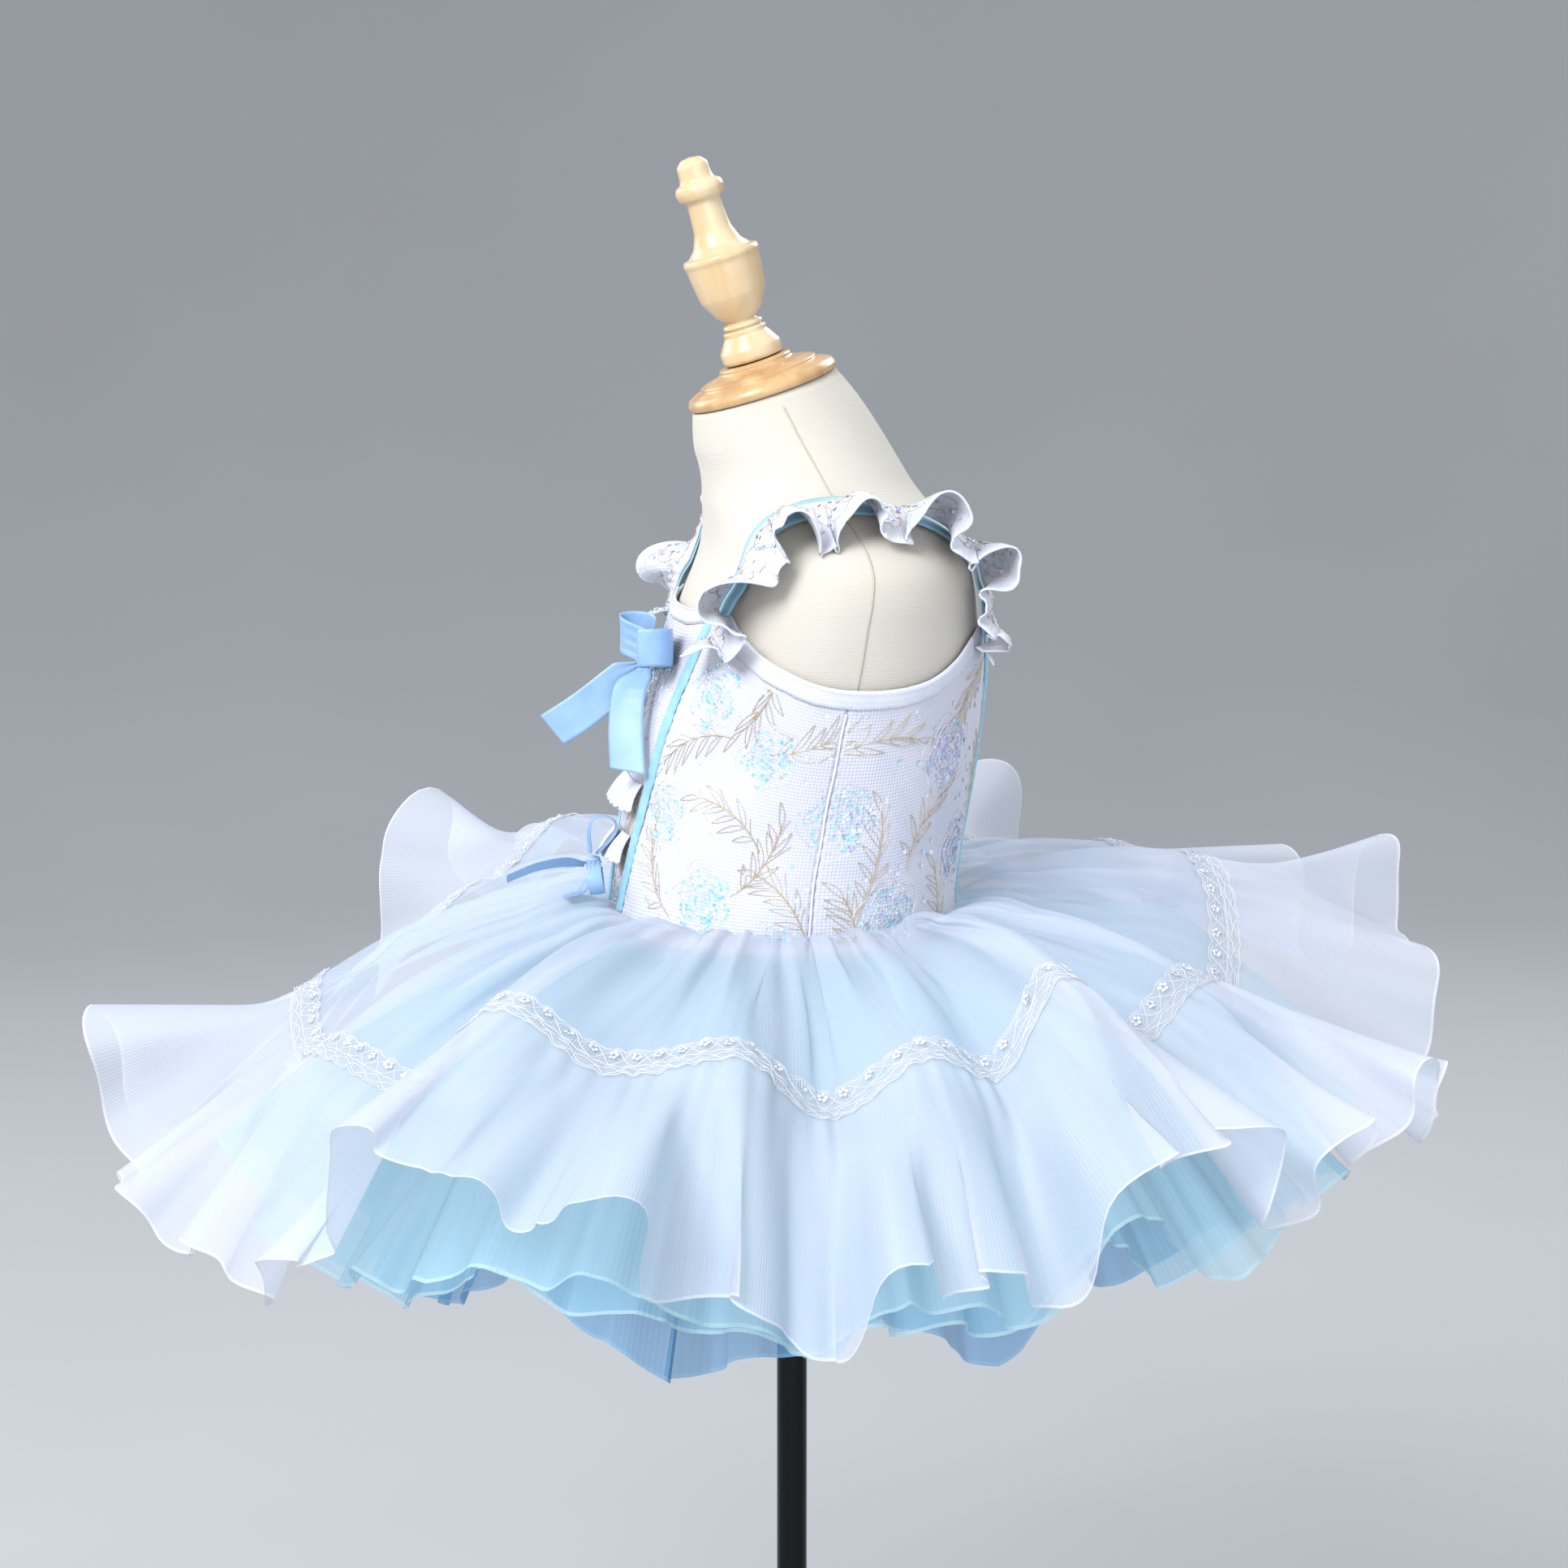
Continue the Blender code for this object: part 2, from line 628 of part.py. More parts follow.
# The bows
def ribbon(name, path, across, width, surface, pinch=1.0):
    """A ribbon along a path of points, across it as wide as stated, and pinched where it leaves the knot."""
    path, across = np.asarray(path, float), unit(np.asarray(across, float) + 0 * np.asarray(path, float))
    opened = pinch + (1 - pinch) * eased(np.linspace(0, 1, len(path)) / 0.25)
    spread = np.array([-0.5, 0.0, 0.5])[None, :, None] * width * opened[:, None, None]
    cloth_wall(name, path[:, None, :] + across[:, None, :] * spread, surface, RIBBON, outward=0.0)


def smooth_path(corners, count):
    """A smooth curve through a few points, evenly stepped from first to last."""
    corners = np.asarray(corners, float)
    Step = namedtuple("Step", "at x y z")
    rows = [Step(i, *point) for i, point in enumerate(corners)]
    at = np.linspace(0, len(rows) - 1, count)
    return np.stack([through(rows, "at", axis, at) for axis in "xyz"], axis=1)


def bow_loop(start, outward, up, length, height, gap, count):
    """A teardrop loop that leaves the knot and comes back to it, its two ends gap apart."""
    turn = np.linspace(0, 1, count)[:, None]
    out, up = unit(np.asarray(outward, float)), unit(np.asarray(up, float))
    reach = length * np.sin(math.pi * turn) ** 0.9
    lift = height * np.sin(2 * math.pi * turn) + gap * (0.5 - turn)
    return np.asarray(start, float) + out * reach + up * lift


def knot(name, centre, size, surface):
    centre, size = np.asarray(centre, float), np.asarray(size, float)
    turn = np.radians(np.linspace(0, 360, 12, endpoint=False))[:, None]
    level = np.array([-1.0, -0.55, 0.0, 0.55, 1.0])[None, :]
    girth = np.array([0.72, 0.96, 1.0, 0.96, 0.72])[None, :]
    ring = np.stack(
        [np.sin(turn) * girth * size[0], -np.cos(turn) * girth * size[1], level * size[2] + 0 * turn],
        axis=-1,
    )
    loft(name, centre + ring / 2, surface)


BOW_TOP = np.array([0.0, -0.0740, WAIST + 0.1370])
BOW_WAIST = np.array([0.0, -0.1040, WAIST + 0.0270])
TOP_KNOT = (0.0100, 0.0120, 0.0150)
WAIST_KNOT = (0.0070, 0.0080, 0.0080)


def make_top_bow(surface):
    knot("bow_top_knot", BOW_TOP, TOP_KNOT, surface)
    side_gap = TOP_KNOT[0] / 2 + CLEARANCE
    for side, sign in (("left", 1), ("right", -1)):
        start = BOW_TOP + [sign * side_gap, 0.0005, 0.0005]
        loop = bow_loop(start, (sign, -0.10, 0.16), (0, -1, 0), 0.034, 0.0080, 0.0034, 17)
        ribbon(f"bow_top_loop_{side}", loop, (0, 0, 1), WIDE_RIBBON, surface)
    under = BOW_TOP - [0, 0, TOP_KNOT[2] / 2 + CLEARANCE]
    down = smooth_path(
        [
            under + [0.0010, -0.0020, -0.0006],
            under + [0.0070, -0.0110, -0.0100],
            under + [0.0160, -0.0150, -0.0280],
            under + [0.0300, -0.0165, -0.0500],
        ],
        10,
    )
    ribbon("bow_top_tail_down", down, (0.50, 0.85, 0.10), WIDE_RIBBON, surface, 0.35)
    out = smooth_path(
        [
            under + [-0.0025, -0.0035, 0.0],
            under + [-0.0035, -0.0180, -0.0110],
            under + [-0.0040, -0.0340, -0.0230],
            under + [-0.0040, -0.0500, -0.0330],
        ],
        8,
    )
    ribbon("bow_top_tail_front", out, (-0.15, -0.52, 0.85), WIDE_RIBBON, surface, 0.30)


def make_waist_bow(surface):
    knot("bow_waist_knot", BOW_WAIST, WAIST_KNOT, surface)
    above = BOW_WAIST + [0, 0, WAIST_KNOT[2] / 2 + CLEARANCE]
    loop = bow_loop(above + [0, 0, 0.0010], (0.15, 0.35, 1), (0, -1, 0.3), 0.0210, 0.0060, 0.0034, 15)
    ribbon("bow_waist_loop_up", loop, (1, 0, 0.1), NARROW_RIBBON, surface)
    beside = BOW_WAIST + [WAIST_KNOT[0] / 2 + CLEARANCE, 0, 0]
    loop = bow_loop(beside + [0.0006, 0, 0], (1, -0.1, -0.45), (0.3, -0.2, 1), 0.0200, 0.0055, 0.0034, 15)
    ribbon("bow_waist_loop_side", loop, (0, 1, 0.1), NARROW_RIBBON * 0.8, surface)
    front = BOW_WAIST - [0, WAIST_KNOT[1] / 2 + CLEARANCE, 0]
    tail = smooth_path(
        [
            front + [0, -0.0001, 0.0],
            front + [-0.001, -0.0120, 0.0010],
            front + [-0.002, -0.0260, -0.0015],
            front + [-0.003, -0.0400, -0.0070],
        ],
        8,
    )
    ribbon("bow_waist_tail_front", tail, (0.75, 0.1, 0.65), NARROW_RIBBON, surface)
    below = BOW_WAIST - [0, 0, WAIST_KNOT[2] / 2 + CLEARANCE]
    tail = smooth_path(
        [
            below + [0.0005, 0, -0.0005],
            below + [0.0020, -0.0040, -0.0060],
            below + [0.0040, -0.0080, -0.0100],
            below + [0.0060, -0.0160, -0.0115],
        ],
        7,
    )
    ribbon("bow_waist_tail_down", tail, (1, 0.25, 0.1), NARROW_RIBBON, surface)


# The skirt's layers
def waist_point(azimuth, height):
    """Where a layer is sewn to the bodice's foot."""
    return torso(azimuth, height, BODY_EASE + CLOTH + 2 * CLEARANCE + 0.08 * max(-height, 0))


def radial(azimuth):
    turn = np.radians(azimuth)
    return np.stack([np.sin(turn), -np.cos(turn), 0 * turn], axis=-1)


def overskirt_profile(azimuth, share):
    """Run and rise from the waist to the flounce's seam: an arched sheet whose pleats open towards it."""
    seam_rise = folded(OVERSKIRT_FOLDS, azimuth)
    longer_in_front = FRONT_REACH * np.clip(np.cos(np.radians(azimuth - 10)), 0, 1) ** 3
    run = 0.985 * np.sqrt((OVERSKIRT_LENGTH + longer_in_front) ** 2 - seam_rise**2)
    fade = np.sin(math.pi * np.clip(share / 0.75, 0, 1))
    gather = GATHER_DEPTH * fade * np.cos(np.radians(GATHERS * azimuth))
    puff = SKIRT_PUFF * np.sin(math.pi * np.clip(share / 0.30, 0, 1)) - SKIRT_SEAM * share
    rise = seam_rise * share**1.15 + OVERSKIRT_ARCH * np.sin(math.pi * share) + gather + puff
    return run * share, rise


def chained(slopes, length):
    """Run and fall of a hanging sheet at each step along it, from its slope there in degrees."""
    lean = np.radians((slopes[:, 1:] + slopes[:, :-1]) / 2)
    step = length / (slopes.shape[1] - 1)
    start = np.zeros((slopes.shape[0], 1))
    run = np.concatenate([start, np.cumsum(np.cos(lean) * step, axis=1)], axis=1)
    fall = np.concatenate([start, np.cumsum(np.sin(lean) * step, axis=1)], axis=1)
    return run, fall


def overskirt_grid(azimuth, shares):
    run, rise = overskirt_profile(azimuth[:, None], np.asarray(shares)[None, :])
    base = waist_point(azimuth, SKIRT_SEAM)[:, None, :]
    lift = np.stack([0 * rise, 0 * rise, rise], axis=-1)
    return base + radial(azimuth)[:, None, :] * run[..., None] + lift


def flounce_grid(azimuth, shares, start=CLEARANCE):
    """The flounce from the overskirt's edge: it leaves at the edge's slope and bends to its own droop."""
    close = overskirt_grid(azimuth, (0.97, 1.0))
    edge, before = close[:, 1], close[:, 0]
    outward = radial(azimuth)
    leave = np.degrees(np.arctan2(before[:, 2] - edge[:, 2], ((edge - before) * outward).sum(-1)))
    droop = folded(FLOUNCE_FOLDS, azimuth)
    at = np.linspace(0, 1, STEPS + 1)[None, :]
    slopes = leave[:, None] + (droop - leave)[:, None] * eased((at - 0.05) / 0.30)
    run, fall = chained(slopes, FLOUNCE_LENGTH)
    picked = [round(share * STEPS) for share in shares]
    run, fall = run[:, picked] + start, fall[:, picked]
    lift = np.stack([0 * fall, 0 * fall, -fall], axis=-1)
    return edge[:, None, :] + outward[:, None, :] * run[..., None] + lift


def net_grid(net, azimuth, shares):
    """A stiff net under the overskirt: it follows the overskirt out and then hangs from a soft knee."""
    inner_run = 0.13
    fall = net.drop - net.start - 0.75 * folded(OVERSKIRT_FOLDS, azimuth)
    inner = np.degrees(np.arcsin(fall / inner_run))
    turn = np.radians(azimuth)
    follow = NET_FOLLOWS * np.clip(folded(FLOUNCE_FOLDS, azimuth) - MIDDLE_DROOP, -12, 60)
    pleats = np.arcsin(0.96 * np.cos(NET_PLEATS * turn + 0.6 * np.sin(3 * turn)))
    follow += NET_PLEAT * (2 / math.pi) * pleats
    outer = net.droop + follow + net.sway * np.cos(net.waves * turn + net.phase)
    at = np.linspace(0, 1, STEPS + 1)[None, :]
    knee = eased((at - NET_KNEE[0]) / (NET_KNEE[1] - NET_KNEE[0]))
    run, fall = chained(inner[:, None] + (outer - inner)[:, None] * knee, 1.0)
    length = net.length + 0 * azimuth
    for point in HEM_POINTS:
        if point.net == net.name:
            away = np.abs((azimuth - point.azimuth + 180) % 360 - 180)
            length += point.length * np.clip(1 - away / point.spread, 0, 1)
    run, fall = run * length[:, None], fall * length[:, None]
    picked = [round(share * STEPS) for share in shares]
    run, fall = run[:, picked], fall[:, picked]
    base = waist_point(azimuth, -net.start)[:, None, :]
    lift = np.stack([0 * fall, 0 * fall, -fall], axis=-1)
    return base + radial(azimuth)[:, None, :] * run[..., None] + lift


def lace_grid(overskirt, flounce):
    """The lace over the flounce's seam, from the points of the two sheets below it, moved up."""
    inside = overskirt[:, -2] - overskirt[:, -1]
    beyond = flounce[:, 1] - flounce[:, 0]
    seam = (overskirt[:, -1] + flounce[:, 0]) / 2
    points = np.stack([seam + unit(inside) * LACE_ABOVE, seam, seam + unit(beyond) * LACE_BELOW], axis=1)
    round_it = np.roll(points, -1, axis=0) - np.roll(points, 1, axis=0)
    outward = np.gradient(points, axis=1)
    normal = unit(np.cross(outward, round_it))
    return points + normal * (SHEER + 3 * CLEARANCE)


def round_the_waist(count):
    return np.linspace(0, 360, count, endpoint=False)


def make_skirt(organza, lace, aqua, blue):
    azimuth = round_the_waist(2 * GATHERS)
    overskirt = overskirt_grid(azimuth, OVERSKIRT_SHARES)
    flounce = flounce_grid(azimuth, FLOUNCE_SHARES)
    cloth_wall("overskirt", overskirt, organza, SHEER, closed=True, outward=0.0)
    cloth_wall("flounce", flounce, organza, SHEER, closed=True, outward=0.0)
    cloth_wall("flounce_lace", lace_grid(overskirt, flounce), lace, SHEER, closed=True, outward=0.0)
    for net, surface in zip(NETS, (aqua, aqua, blue)):
        grid = net_grid(net, round_the_waist(net.columns), (0.0, 0.42, 0.62, 1.0))
        cloth_wall(net.name, grid, surface, SHEER, closed=True, outward=0.0)


def clear_scene():
    for obj in list(bpy.data.objects):
        bpy.data.objects.remove(obj)


def main():
    clear_scene()
    linen = material("form_linen", (0.78, 0.74, 0.66), 0.85)
    wood = material("turned_wood", (0.78, 0.55, 0.30), 0.45)
    steel = material("black_steel", (0.03, 0.03, 0.035), 0.30, 0.8)
    sequin_lace = material("sequin_lace", (0.84, 0.85, 0.93), 0.50)
    elastic = material("white_elastic", (0.86, 0.87, 0.94), 0.60)
    velvet = material("blue_trim", (0.42, 0.70, 0.87), 0.70)
    satin = material("blue_satin", (0.34, 0.52, 0.80), 0.30)
    organza = material("white_organza", (0.82, 0.86, 0.97), 0.45)
    lace = material("white_lace", (0.88, 0.90, 0.97), 0.70)
    aqua = material("aqua_net", (0.45, 0.74, 0.84), 0.55)
    blue = material("blue_net", (0.32, 0.55, 0.78), 0.55)
    make_form(linen)
    make_neck_block(wood)
    make_stand(steel)
    make_bodice(sequin_lace)
    make_bindings(elastic)
    make_trims(velvet)
    make_strap("left", 1, velvet)
    make_strap("right", -1, velvet)
    make_frills(sequin_lace)
    make_front_lace(lace)
    make_top_bow(satin)
    make_waist_bow(satin)
    make_skirt(organza, lace, aqua, blue)


main()
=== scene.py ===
"""The dress with its form and stand, dressed in the look of the photograph.

Metres, +Z up. The dress faces -Y and its wearer's left is +X. An azimuth is counted in degrees from
the front towards the wearer's left. The measures and surface functions are those of the solids.
"""

from collections import namedtuple
from functools import partial
import math
from math import pi

import bpy
import mathutils
import numpy as np
from numpy import arange, arcsin, array, asarray, clip, concatenate, cos, degrees, exp
from numpy import gradient, linspace, radians, roll, sin, stack, where
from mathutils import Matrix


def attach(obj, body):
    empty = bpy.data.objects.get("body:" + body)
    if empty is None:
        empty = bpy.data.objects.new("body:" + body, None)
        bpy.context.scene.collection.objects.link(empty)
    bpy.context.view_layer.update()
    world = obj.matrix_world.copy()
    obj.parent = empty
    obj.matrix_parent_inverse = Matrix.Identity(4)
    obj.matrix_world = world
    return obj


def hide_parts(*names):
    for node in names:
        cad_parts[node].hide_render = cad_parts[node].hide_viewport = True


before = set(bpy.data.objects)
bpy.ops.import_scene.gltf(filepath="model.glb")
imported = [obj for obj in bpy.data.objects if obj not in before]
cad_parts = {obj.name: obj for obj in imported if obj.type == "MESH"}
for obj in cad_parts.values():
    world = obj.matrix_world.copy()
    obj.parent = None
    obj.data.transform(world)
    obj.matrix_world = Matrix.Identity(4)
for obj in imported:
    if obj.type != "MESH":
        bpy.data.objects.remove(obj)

# The camera
CAMERA_AZIMUTH = 79
CAMERA_ELEVATION = 9.5
CAMERA_HEIGHT = 0.685
CAMERA_ASIDE = 0.0042
CAMERA_DISTANCE = 1.83
CAMERA_VIEW = 25

# Driving dimensions
WAIST = 0.62
CLOTH = 0.0012
SHEER = 0.001
CLEARANCE = 0.0003
BODY_EASE = 0.0013
BODICE_FOOT = -0.016
BODICE_FACE = BODY_EASE + CLOTH
ON_PANEL = BODICE_FACE + 0.0006
BODICE_RADIUS = 0.094
TRIM_WIDTH = 0.009
BINDING_WIDTH = 0.01
NECK_BINDING_WIDTH = 0.008
BINDING_PROUD = 0.0012
STRAP_WIDTH = 0.012
STRAP_EASE = 0.0008
STRAP_REACH = 0.06
STRAP_BULGE = 0.012
STRAP_ENDS = (0.16, 0.148)
FRILL_ENDS = (0.148, 0.136)
FRILL_WIDTH = 0.036
WIDE_RIBBON = 0.019
NARROW_RIBBON = 0.0095
OVERSKIRT_LENGTH = 0.145
OVERSKIRT_ARCH = 0.01
FRONT_REACH = 0.027
GATHERS = 56
GATHER_DEPTH = 0.0022
SKIRT_SEAM = 0.005
SKIRT_PUFF = 0.004
FLOUNCE_LENGTH = 0.118
LACE_ABOVE = 0.009
LACE_BELOW = 0.006
FOOT_RADIUS = 0.13
POLE_RADIUS = 0.008


def table(name, columns, *rows):
    """The rows of a table, with its columns named."""
    kind = namedtuple(name, columns)
    return [kind(*row) for row in rows]


FORM_SECTIONS = table(
    "Section", "height half_width half_depth middle squareness tilt",
    (-0.14, 0.086, 0.076, -0.004, 2.1, 0), (-0.128, 0.099, 0.087, -0.004, 2.1, 0),
    (-0.075, 0.106, 0.093, -0.005, 2.2, 0), (-0.03, 0.101, 0.09, -0.006, 2.2, 0),
    (0.0, 0.096, 0.086, -0.006, 2.2, 0), (0.03, 0.094, 0.085, -0.003, 2.2, 0),
    (0.066, 0.094, 0.085, 0.003, 2.2, 0), (0.106, 0.098, 0.083, 0.01, 2.2, 0),
    (0.14, 0.104, 0.078, 0.016, 2.2, 0), (0.158, 0.107, 0.074, 0.018, 2.2, 0),
    (0.172, 0.1085, 0.07, 0.02, 2.2, 0), (0.186, 0.106, 0.0655, 0.0205, 2.2, 0),
    (0.196, 0.098, 0.062, 0.018, 2.15, 0), (0.204, 0.085, 0.0595, 0.015, 2.1, 0),
    (0.212, 0.071, 0.057, 0.0115, 2.05, 0), (0.2205, 0.06, 0.054, 0.008, 2.0, 0),
    (0.232, 0.0515, 0.0505, 0.003, 2.0, 3), (0.245, 0.0455, 0.047, -0.0035, 2.0, 8),
    (0.258, 0.0405, 0.0425, -0.0095, 2.0, 13), (0.268, 0.0372, 0.038, -0.0147, 2.0, 18),
)
FRONT_SEAM = table(
    "SeamRow", "height azimuth",
    (-0.02, 5.5), (0.0, 7.5), (0.033, 12.5), (0.066, 17.0), (0.106, 20.5), (0.147, 25.5), (0.165, 29.0),
)
BACK_SEAM = table("SeamRow", "height azimuth", (-0.02, 169.0), (0.05, 167.0), (0.11, 161.0), (0.16, 154.0))
SIDE_SEAM = 87.5
TOP_EDGE = table(
    "EdgeRow", "azimuth height",
    (0, 0.158), (15, 0.159), (26, 0.162), (32, 0.163), (37, 0.16), (43, 0.1535), (54, 0.1432),
    (66, 0.1355), (78, 0.1295), (90, 0.127), (102, 0.1275), (114, 0.1312), (125, 0.139), (134, 0.147),
    (142, 0.152), (148, 0.1535), (157, 0.153), (168, 0.15), (180, 0.149),
)
ARMHOLE = (43.0, 136.0)
FRONT_NECK = 24.0
BACK_NECK = 161.0

# A crest is where the hem stands out, and the valley is halfway to the next crest.
OVERSKIRT_FOLDS = table(
    "SeamFold", "azimuth crest valley",
    (-12, -0.044, -0.06), (20, -0.044, -0.052), (48, -0.002, -0.028), (74, -0.018, -0.048),
    (95, -0.021, -0.034), (111, 0.01, -0.03), (136, -0.008, -0.038), (182, 0.016, -0.02),
    (205, 0.008, -0.025), (235, 0.0, -0.028), (262, 0.004, -0.026), (290, 0.01, -0.022),
    (320, -0.04, -0.052),
)
# Crests and valleys here are degrees of droop below the horizontal. Curl is how strongly the fold
# curls over itself between its crest and the next.
FLOUNCE_FOLDS = table(
    "HemFold", "azimuth crest valley curl",
    (-12, 2, 46, 0.7), (4, 32, 66, 0.5), (20, 48, 66, 0.6), (36, 30, 50, 0.9), (47, 14, 24, 0.6),
    (57, 8, 26, 0.7), (66, 10, 66, 1.4), (79, 56, 66, 0.7), (89, 22, 56, 1.5), (97, 46, 58, 0.8),
    (106, 16, 38, 1.4), (116, 20, 38, 1.0), (128, 16, 42, 0.7), (145, 8, 34, 0.6), (160, 12, 34, 0.8),
    (173, 14, 26, 0.5), (187, -14, 22, 0.7), (205, 2, 42, 0.6), (223, 10, 40, 0.8), (238, -22, 40, 0.9),
    (265, -4, 40, 0.5), (281, -2, 38, 0.8), (297, -8, 50, 0.6), (319, 46, 60, 0.7), (334, 44, 50, 0.9),
)
NETS = table(
    "Net", "name start drop length droop sway waves phase hem slot",
    ("net_upper", 0.004, 0.022, 0.238, 48, 3, 13, 1.3, "net_hem", "aqua_net"),
    ("net_middle", 0.008, 0.04, 0.222, 54, 3, 11, 0.5, "net_hem", "aqua_net"),
    ("net_lower", 0.012, 0.056, 0.2, 60, 3, 9, 2.0, "net_lower_hem", "blue_net"),
)
HEM_POINTS = table(
    "HemPoint", "net azimuth spread length",
    ("net_lower", 68, 17, 0.034), ("net_lower", 103, 13, 0.024), ("net_upper", 46, 10, 0.014),
    ("net_upper", 124, 10, 0.014), ("net_lower", 20, 14, 0.01), ("net_lower", 160, 14, 0.012),
    ("net_middle", 215, 14, 0.01), ("net_lower", 262, 14, 0.014), ("net_upper", 305, 10, 0.008),
)
NET_KNEE = (0.4, 0.64)
NET_INNER_RUN = 0.13
NET_FOLLOWS = 0.36
NET_PLEATS = 15
NET_PLEAT = 6
MIDDLE_DROOP = 40
STEPS = 240

# The turned pieces. Each row is a radius and a place along the axis.
NECK_TILT = 18.0
CAP_ROWS = (
    (0.0, 0.016), (0.0175, 0.016), (0.0189, 0.015), (0.0189, 0.0138), (0.02, 0.0128),
    (0.028, 0.0108), (0.0305, 0.0098), (0.0305, 0.0084), (0.0335, 0.0078), (0.0378, 0.0058),
    (0.0392, 0.0032), (0.0388, 0.0008), (0.037, 0.0), (0.0, 0.0),
)
FINIAL_ROWS = (
    (0.0, 0.1217), (0.005, 0.121), (0.008, 0.118), (0.0083, 0.112), (0.009, 0.1096),
    (0.0118, 0.108), (0.0127, 0.105), (0.0116, 0.1014), (0.0088, 0.0995), (0.0088, 0.094),
    (0.0097, 0.0839), (0.0125, 0.0768), (0.0165, 0.0728), (0.0192, 0.0722), (0.0199, 0.07),
    (0.019, 0.0676), (0.0186, 0.062), (0.017, 0.05), (0.0118, 0.0406), (0.0072, 0.0368),
    (0.01, 0.0354), (0.0104, 0.034), (0.009, 0.033), (0.0112, 0.032), (0.011, 0.0298),
    (0.012, 0.0284), (0.0158, 0.0225), (0.0156, 0.018), (0.0145, 0.0163), (0.0, 0.0163),
)
FOOT_ROWS = (
    (0.0, 0.02), (0.016, 0.02), (0.0185, 0.018), (0.02, 0.0095), (FOOT_RADIUS - 0.008, 0.006),
    (FOOT_RADIUS - 0.001, 0.0045), (FOOT_RADIUS, 0.002), (FOOT_RADIUS - 0.001, 0.0), (0.0, 0.0),
)


# Tables and smooth curves through them
def columns_of(rows, *names):
    return [array([getattr(row, name) for row in rows], float) for name in names]


def through(rows, key, value, at):
    """The value column at a place in the key column, on a smooth curve through the rows."""
    keys, values = columns_of(rows, key, value)
    slopes = gradient(values, keys)
    at = clip(asarray(at, float), keys[0], keys[-1])
    i = clip(np.searchsorted(keys, at) - 1, 0, len(keys) - 2)
    span = keys[i + 1] - keys[i]
    t = (at - keys[i]) / span
    start = (2 * t**3 - 3 * t**2 + 1) * values[i] + (t**3 - 2 * t**2 + t) * span * slopes[i]
    end = (3 * t**2 - 2 * t**3) * values[i + 1] + (t**3 - t**2) * span * slopes[i + 1]
    return start + end


def fold_place(rows, azimuth):
    """Which fold an azimuth is in, how far through it, from 0 to 1, and its half width in degrees."""
    crests, = columns_of(rows, "azimuth")
    ends = np.append(crests[1:], crests[0] + 360)
    at = (asarray(azimuth, float) - crests[0]) % 360 + crests[0]
    i = clip(np.searchsorted(crests, at, side="right") - 1, 0, len(crests) - 1)
    return i, (at - crests[i]) / (ends[i] - crests[i]), (ends[i] - crests[i]) / 2


def folded(rows, azimuth):
    """The height or droop at an azimuth, eased from each crest to the valley after it and so on."""
    i, place, _ = fold_place(rows, azimuth)
    crests, valleys = columns_of(rows, "crest", "valley")
    crest = where(place < 0.5, crests[i], roll(crests, -1)[i])
    return crest + (valleys[i] - crest) * (1 - cos(2 * pi * place)) / 2


def eased(t):
    t = clip(t, 0, 1)
    return t * t * (3 - 2 * t)


def unit(vectors):
    return vectors / np.linalg.norm(vectors, axis=-1, keepdims=True)


def all_round(count):
    return linspace(0, 360, count, endpoint=False)


# The dress form's surface
def form_at(height):
    """The form's half width, half depth, middle, squareness and tilt at a height."""
    return [through(FORM_SECTIONS, "height", column, height) for column in FORM_SECTIONS[0]._fields[1:]]


def ring_point(azimuth, height):
    turn = radians(azimuth)
    width, depth, middle, squareness, tilt = form_at(height)
    power = 2 / squareness
    across = width * np.sign(sin(turn)) * np.abs(sin(turn)) ** power
    along = -depth * np.sign(cos(turn)) * np.abs(cos(turn)) ** power
    lean = radians(tilt)
    level = WAIST + asarray(height, float) + along * sin(lean)
    return stack(np.broadcast_arrays(across, middle + along * cos(lean), level), axis=-1)


def torso(azimuth, height, out=0.0):
    """A point above the form's surface, out metres along the surface's normal."""
    azimuth, height, out = np.broadcast_arrays(*(asarray(v, float) for v in (azimuth, height, out)))
    small_turn, small_rise = 0.5, 0.001
    round_it = ring_point(azimuth + small_turn, height) - ring_point(azimuth - small_turn, height)
    upward = ring_point(azimuth, height + small_rise) - ring_point(azimuth, height - small_rise)
    return ring_point(azimuth, height) + unit(np.cross(round_it, upward)) * out[..., None]


def shoulder_height(x, y):
    """The form's height above the waist over a point of its plan, at the shoulder."""
    x, y = np.broadcast_arrays(asarray(x, float), asarray(y, float))
    low, high = np.full(x.shape, 0.1), np.full(x.shape, 0.255)
    for _ in range(40):
        level = (low + high) / 2
        width, depth, middle, squareness = form_at(level)[:4]
        inside = (np.abs(x) / width) ** squareness + (np.abs(y - middle) / depth) ** squareness < 1
        low, high = where(inside, level, low), where(inside, high, level)
    return (low + high) / 2


def over_shoulder(x, y):
    """The form's surface there, with its normal."""
    reach = 0.0005
    slope_x = (shoulder_height(x + reach, y) - shoulder_height(x - reach, y)) / (2 * reach)
    slope_y = (shoulder_height(x, y + reach) - shoulder_height(x, y - reach)) / (2 * reach)
    point = stack(np.broadcast_arrays(x, y, WAIST + shoulder_height(x, y)), axis=-1)
    return point, unit(stack([-slope_x, -slope_y, np.ones_like(slope_x)], axis=-1))


def to_one_side(azimuth):
    """The same place on the wearer's left, 0 to 180 degrees from the front."""
    return np.abs((asarray(azimuth, float) + 180) % 360 - 180)


def top_edge(azimuth):
    return through(TOP_EDGE, "azimuth", "height", to_one_side(azimuth))


front_seam = partial(through, FRONT_SEAM, "height", "azimuth")
back_seam = partial(through, BACK_SEAM, "height", "azimuth")


def side_seam(height):
    return SIDE_SEAM + 0 * asarray(height, float)


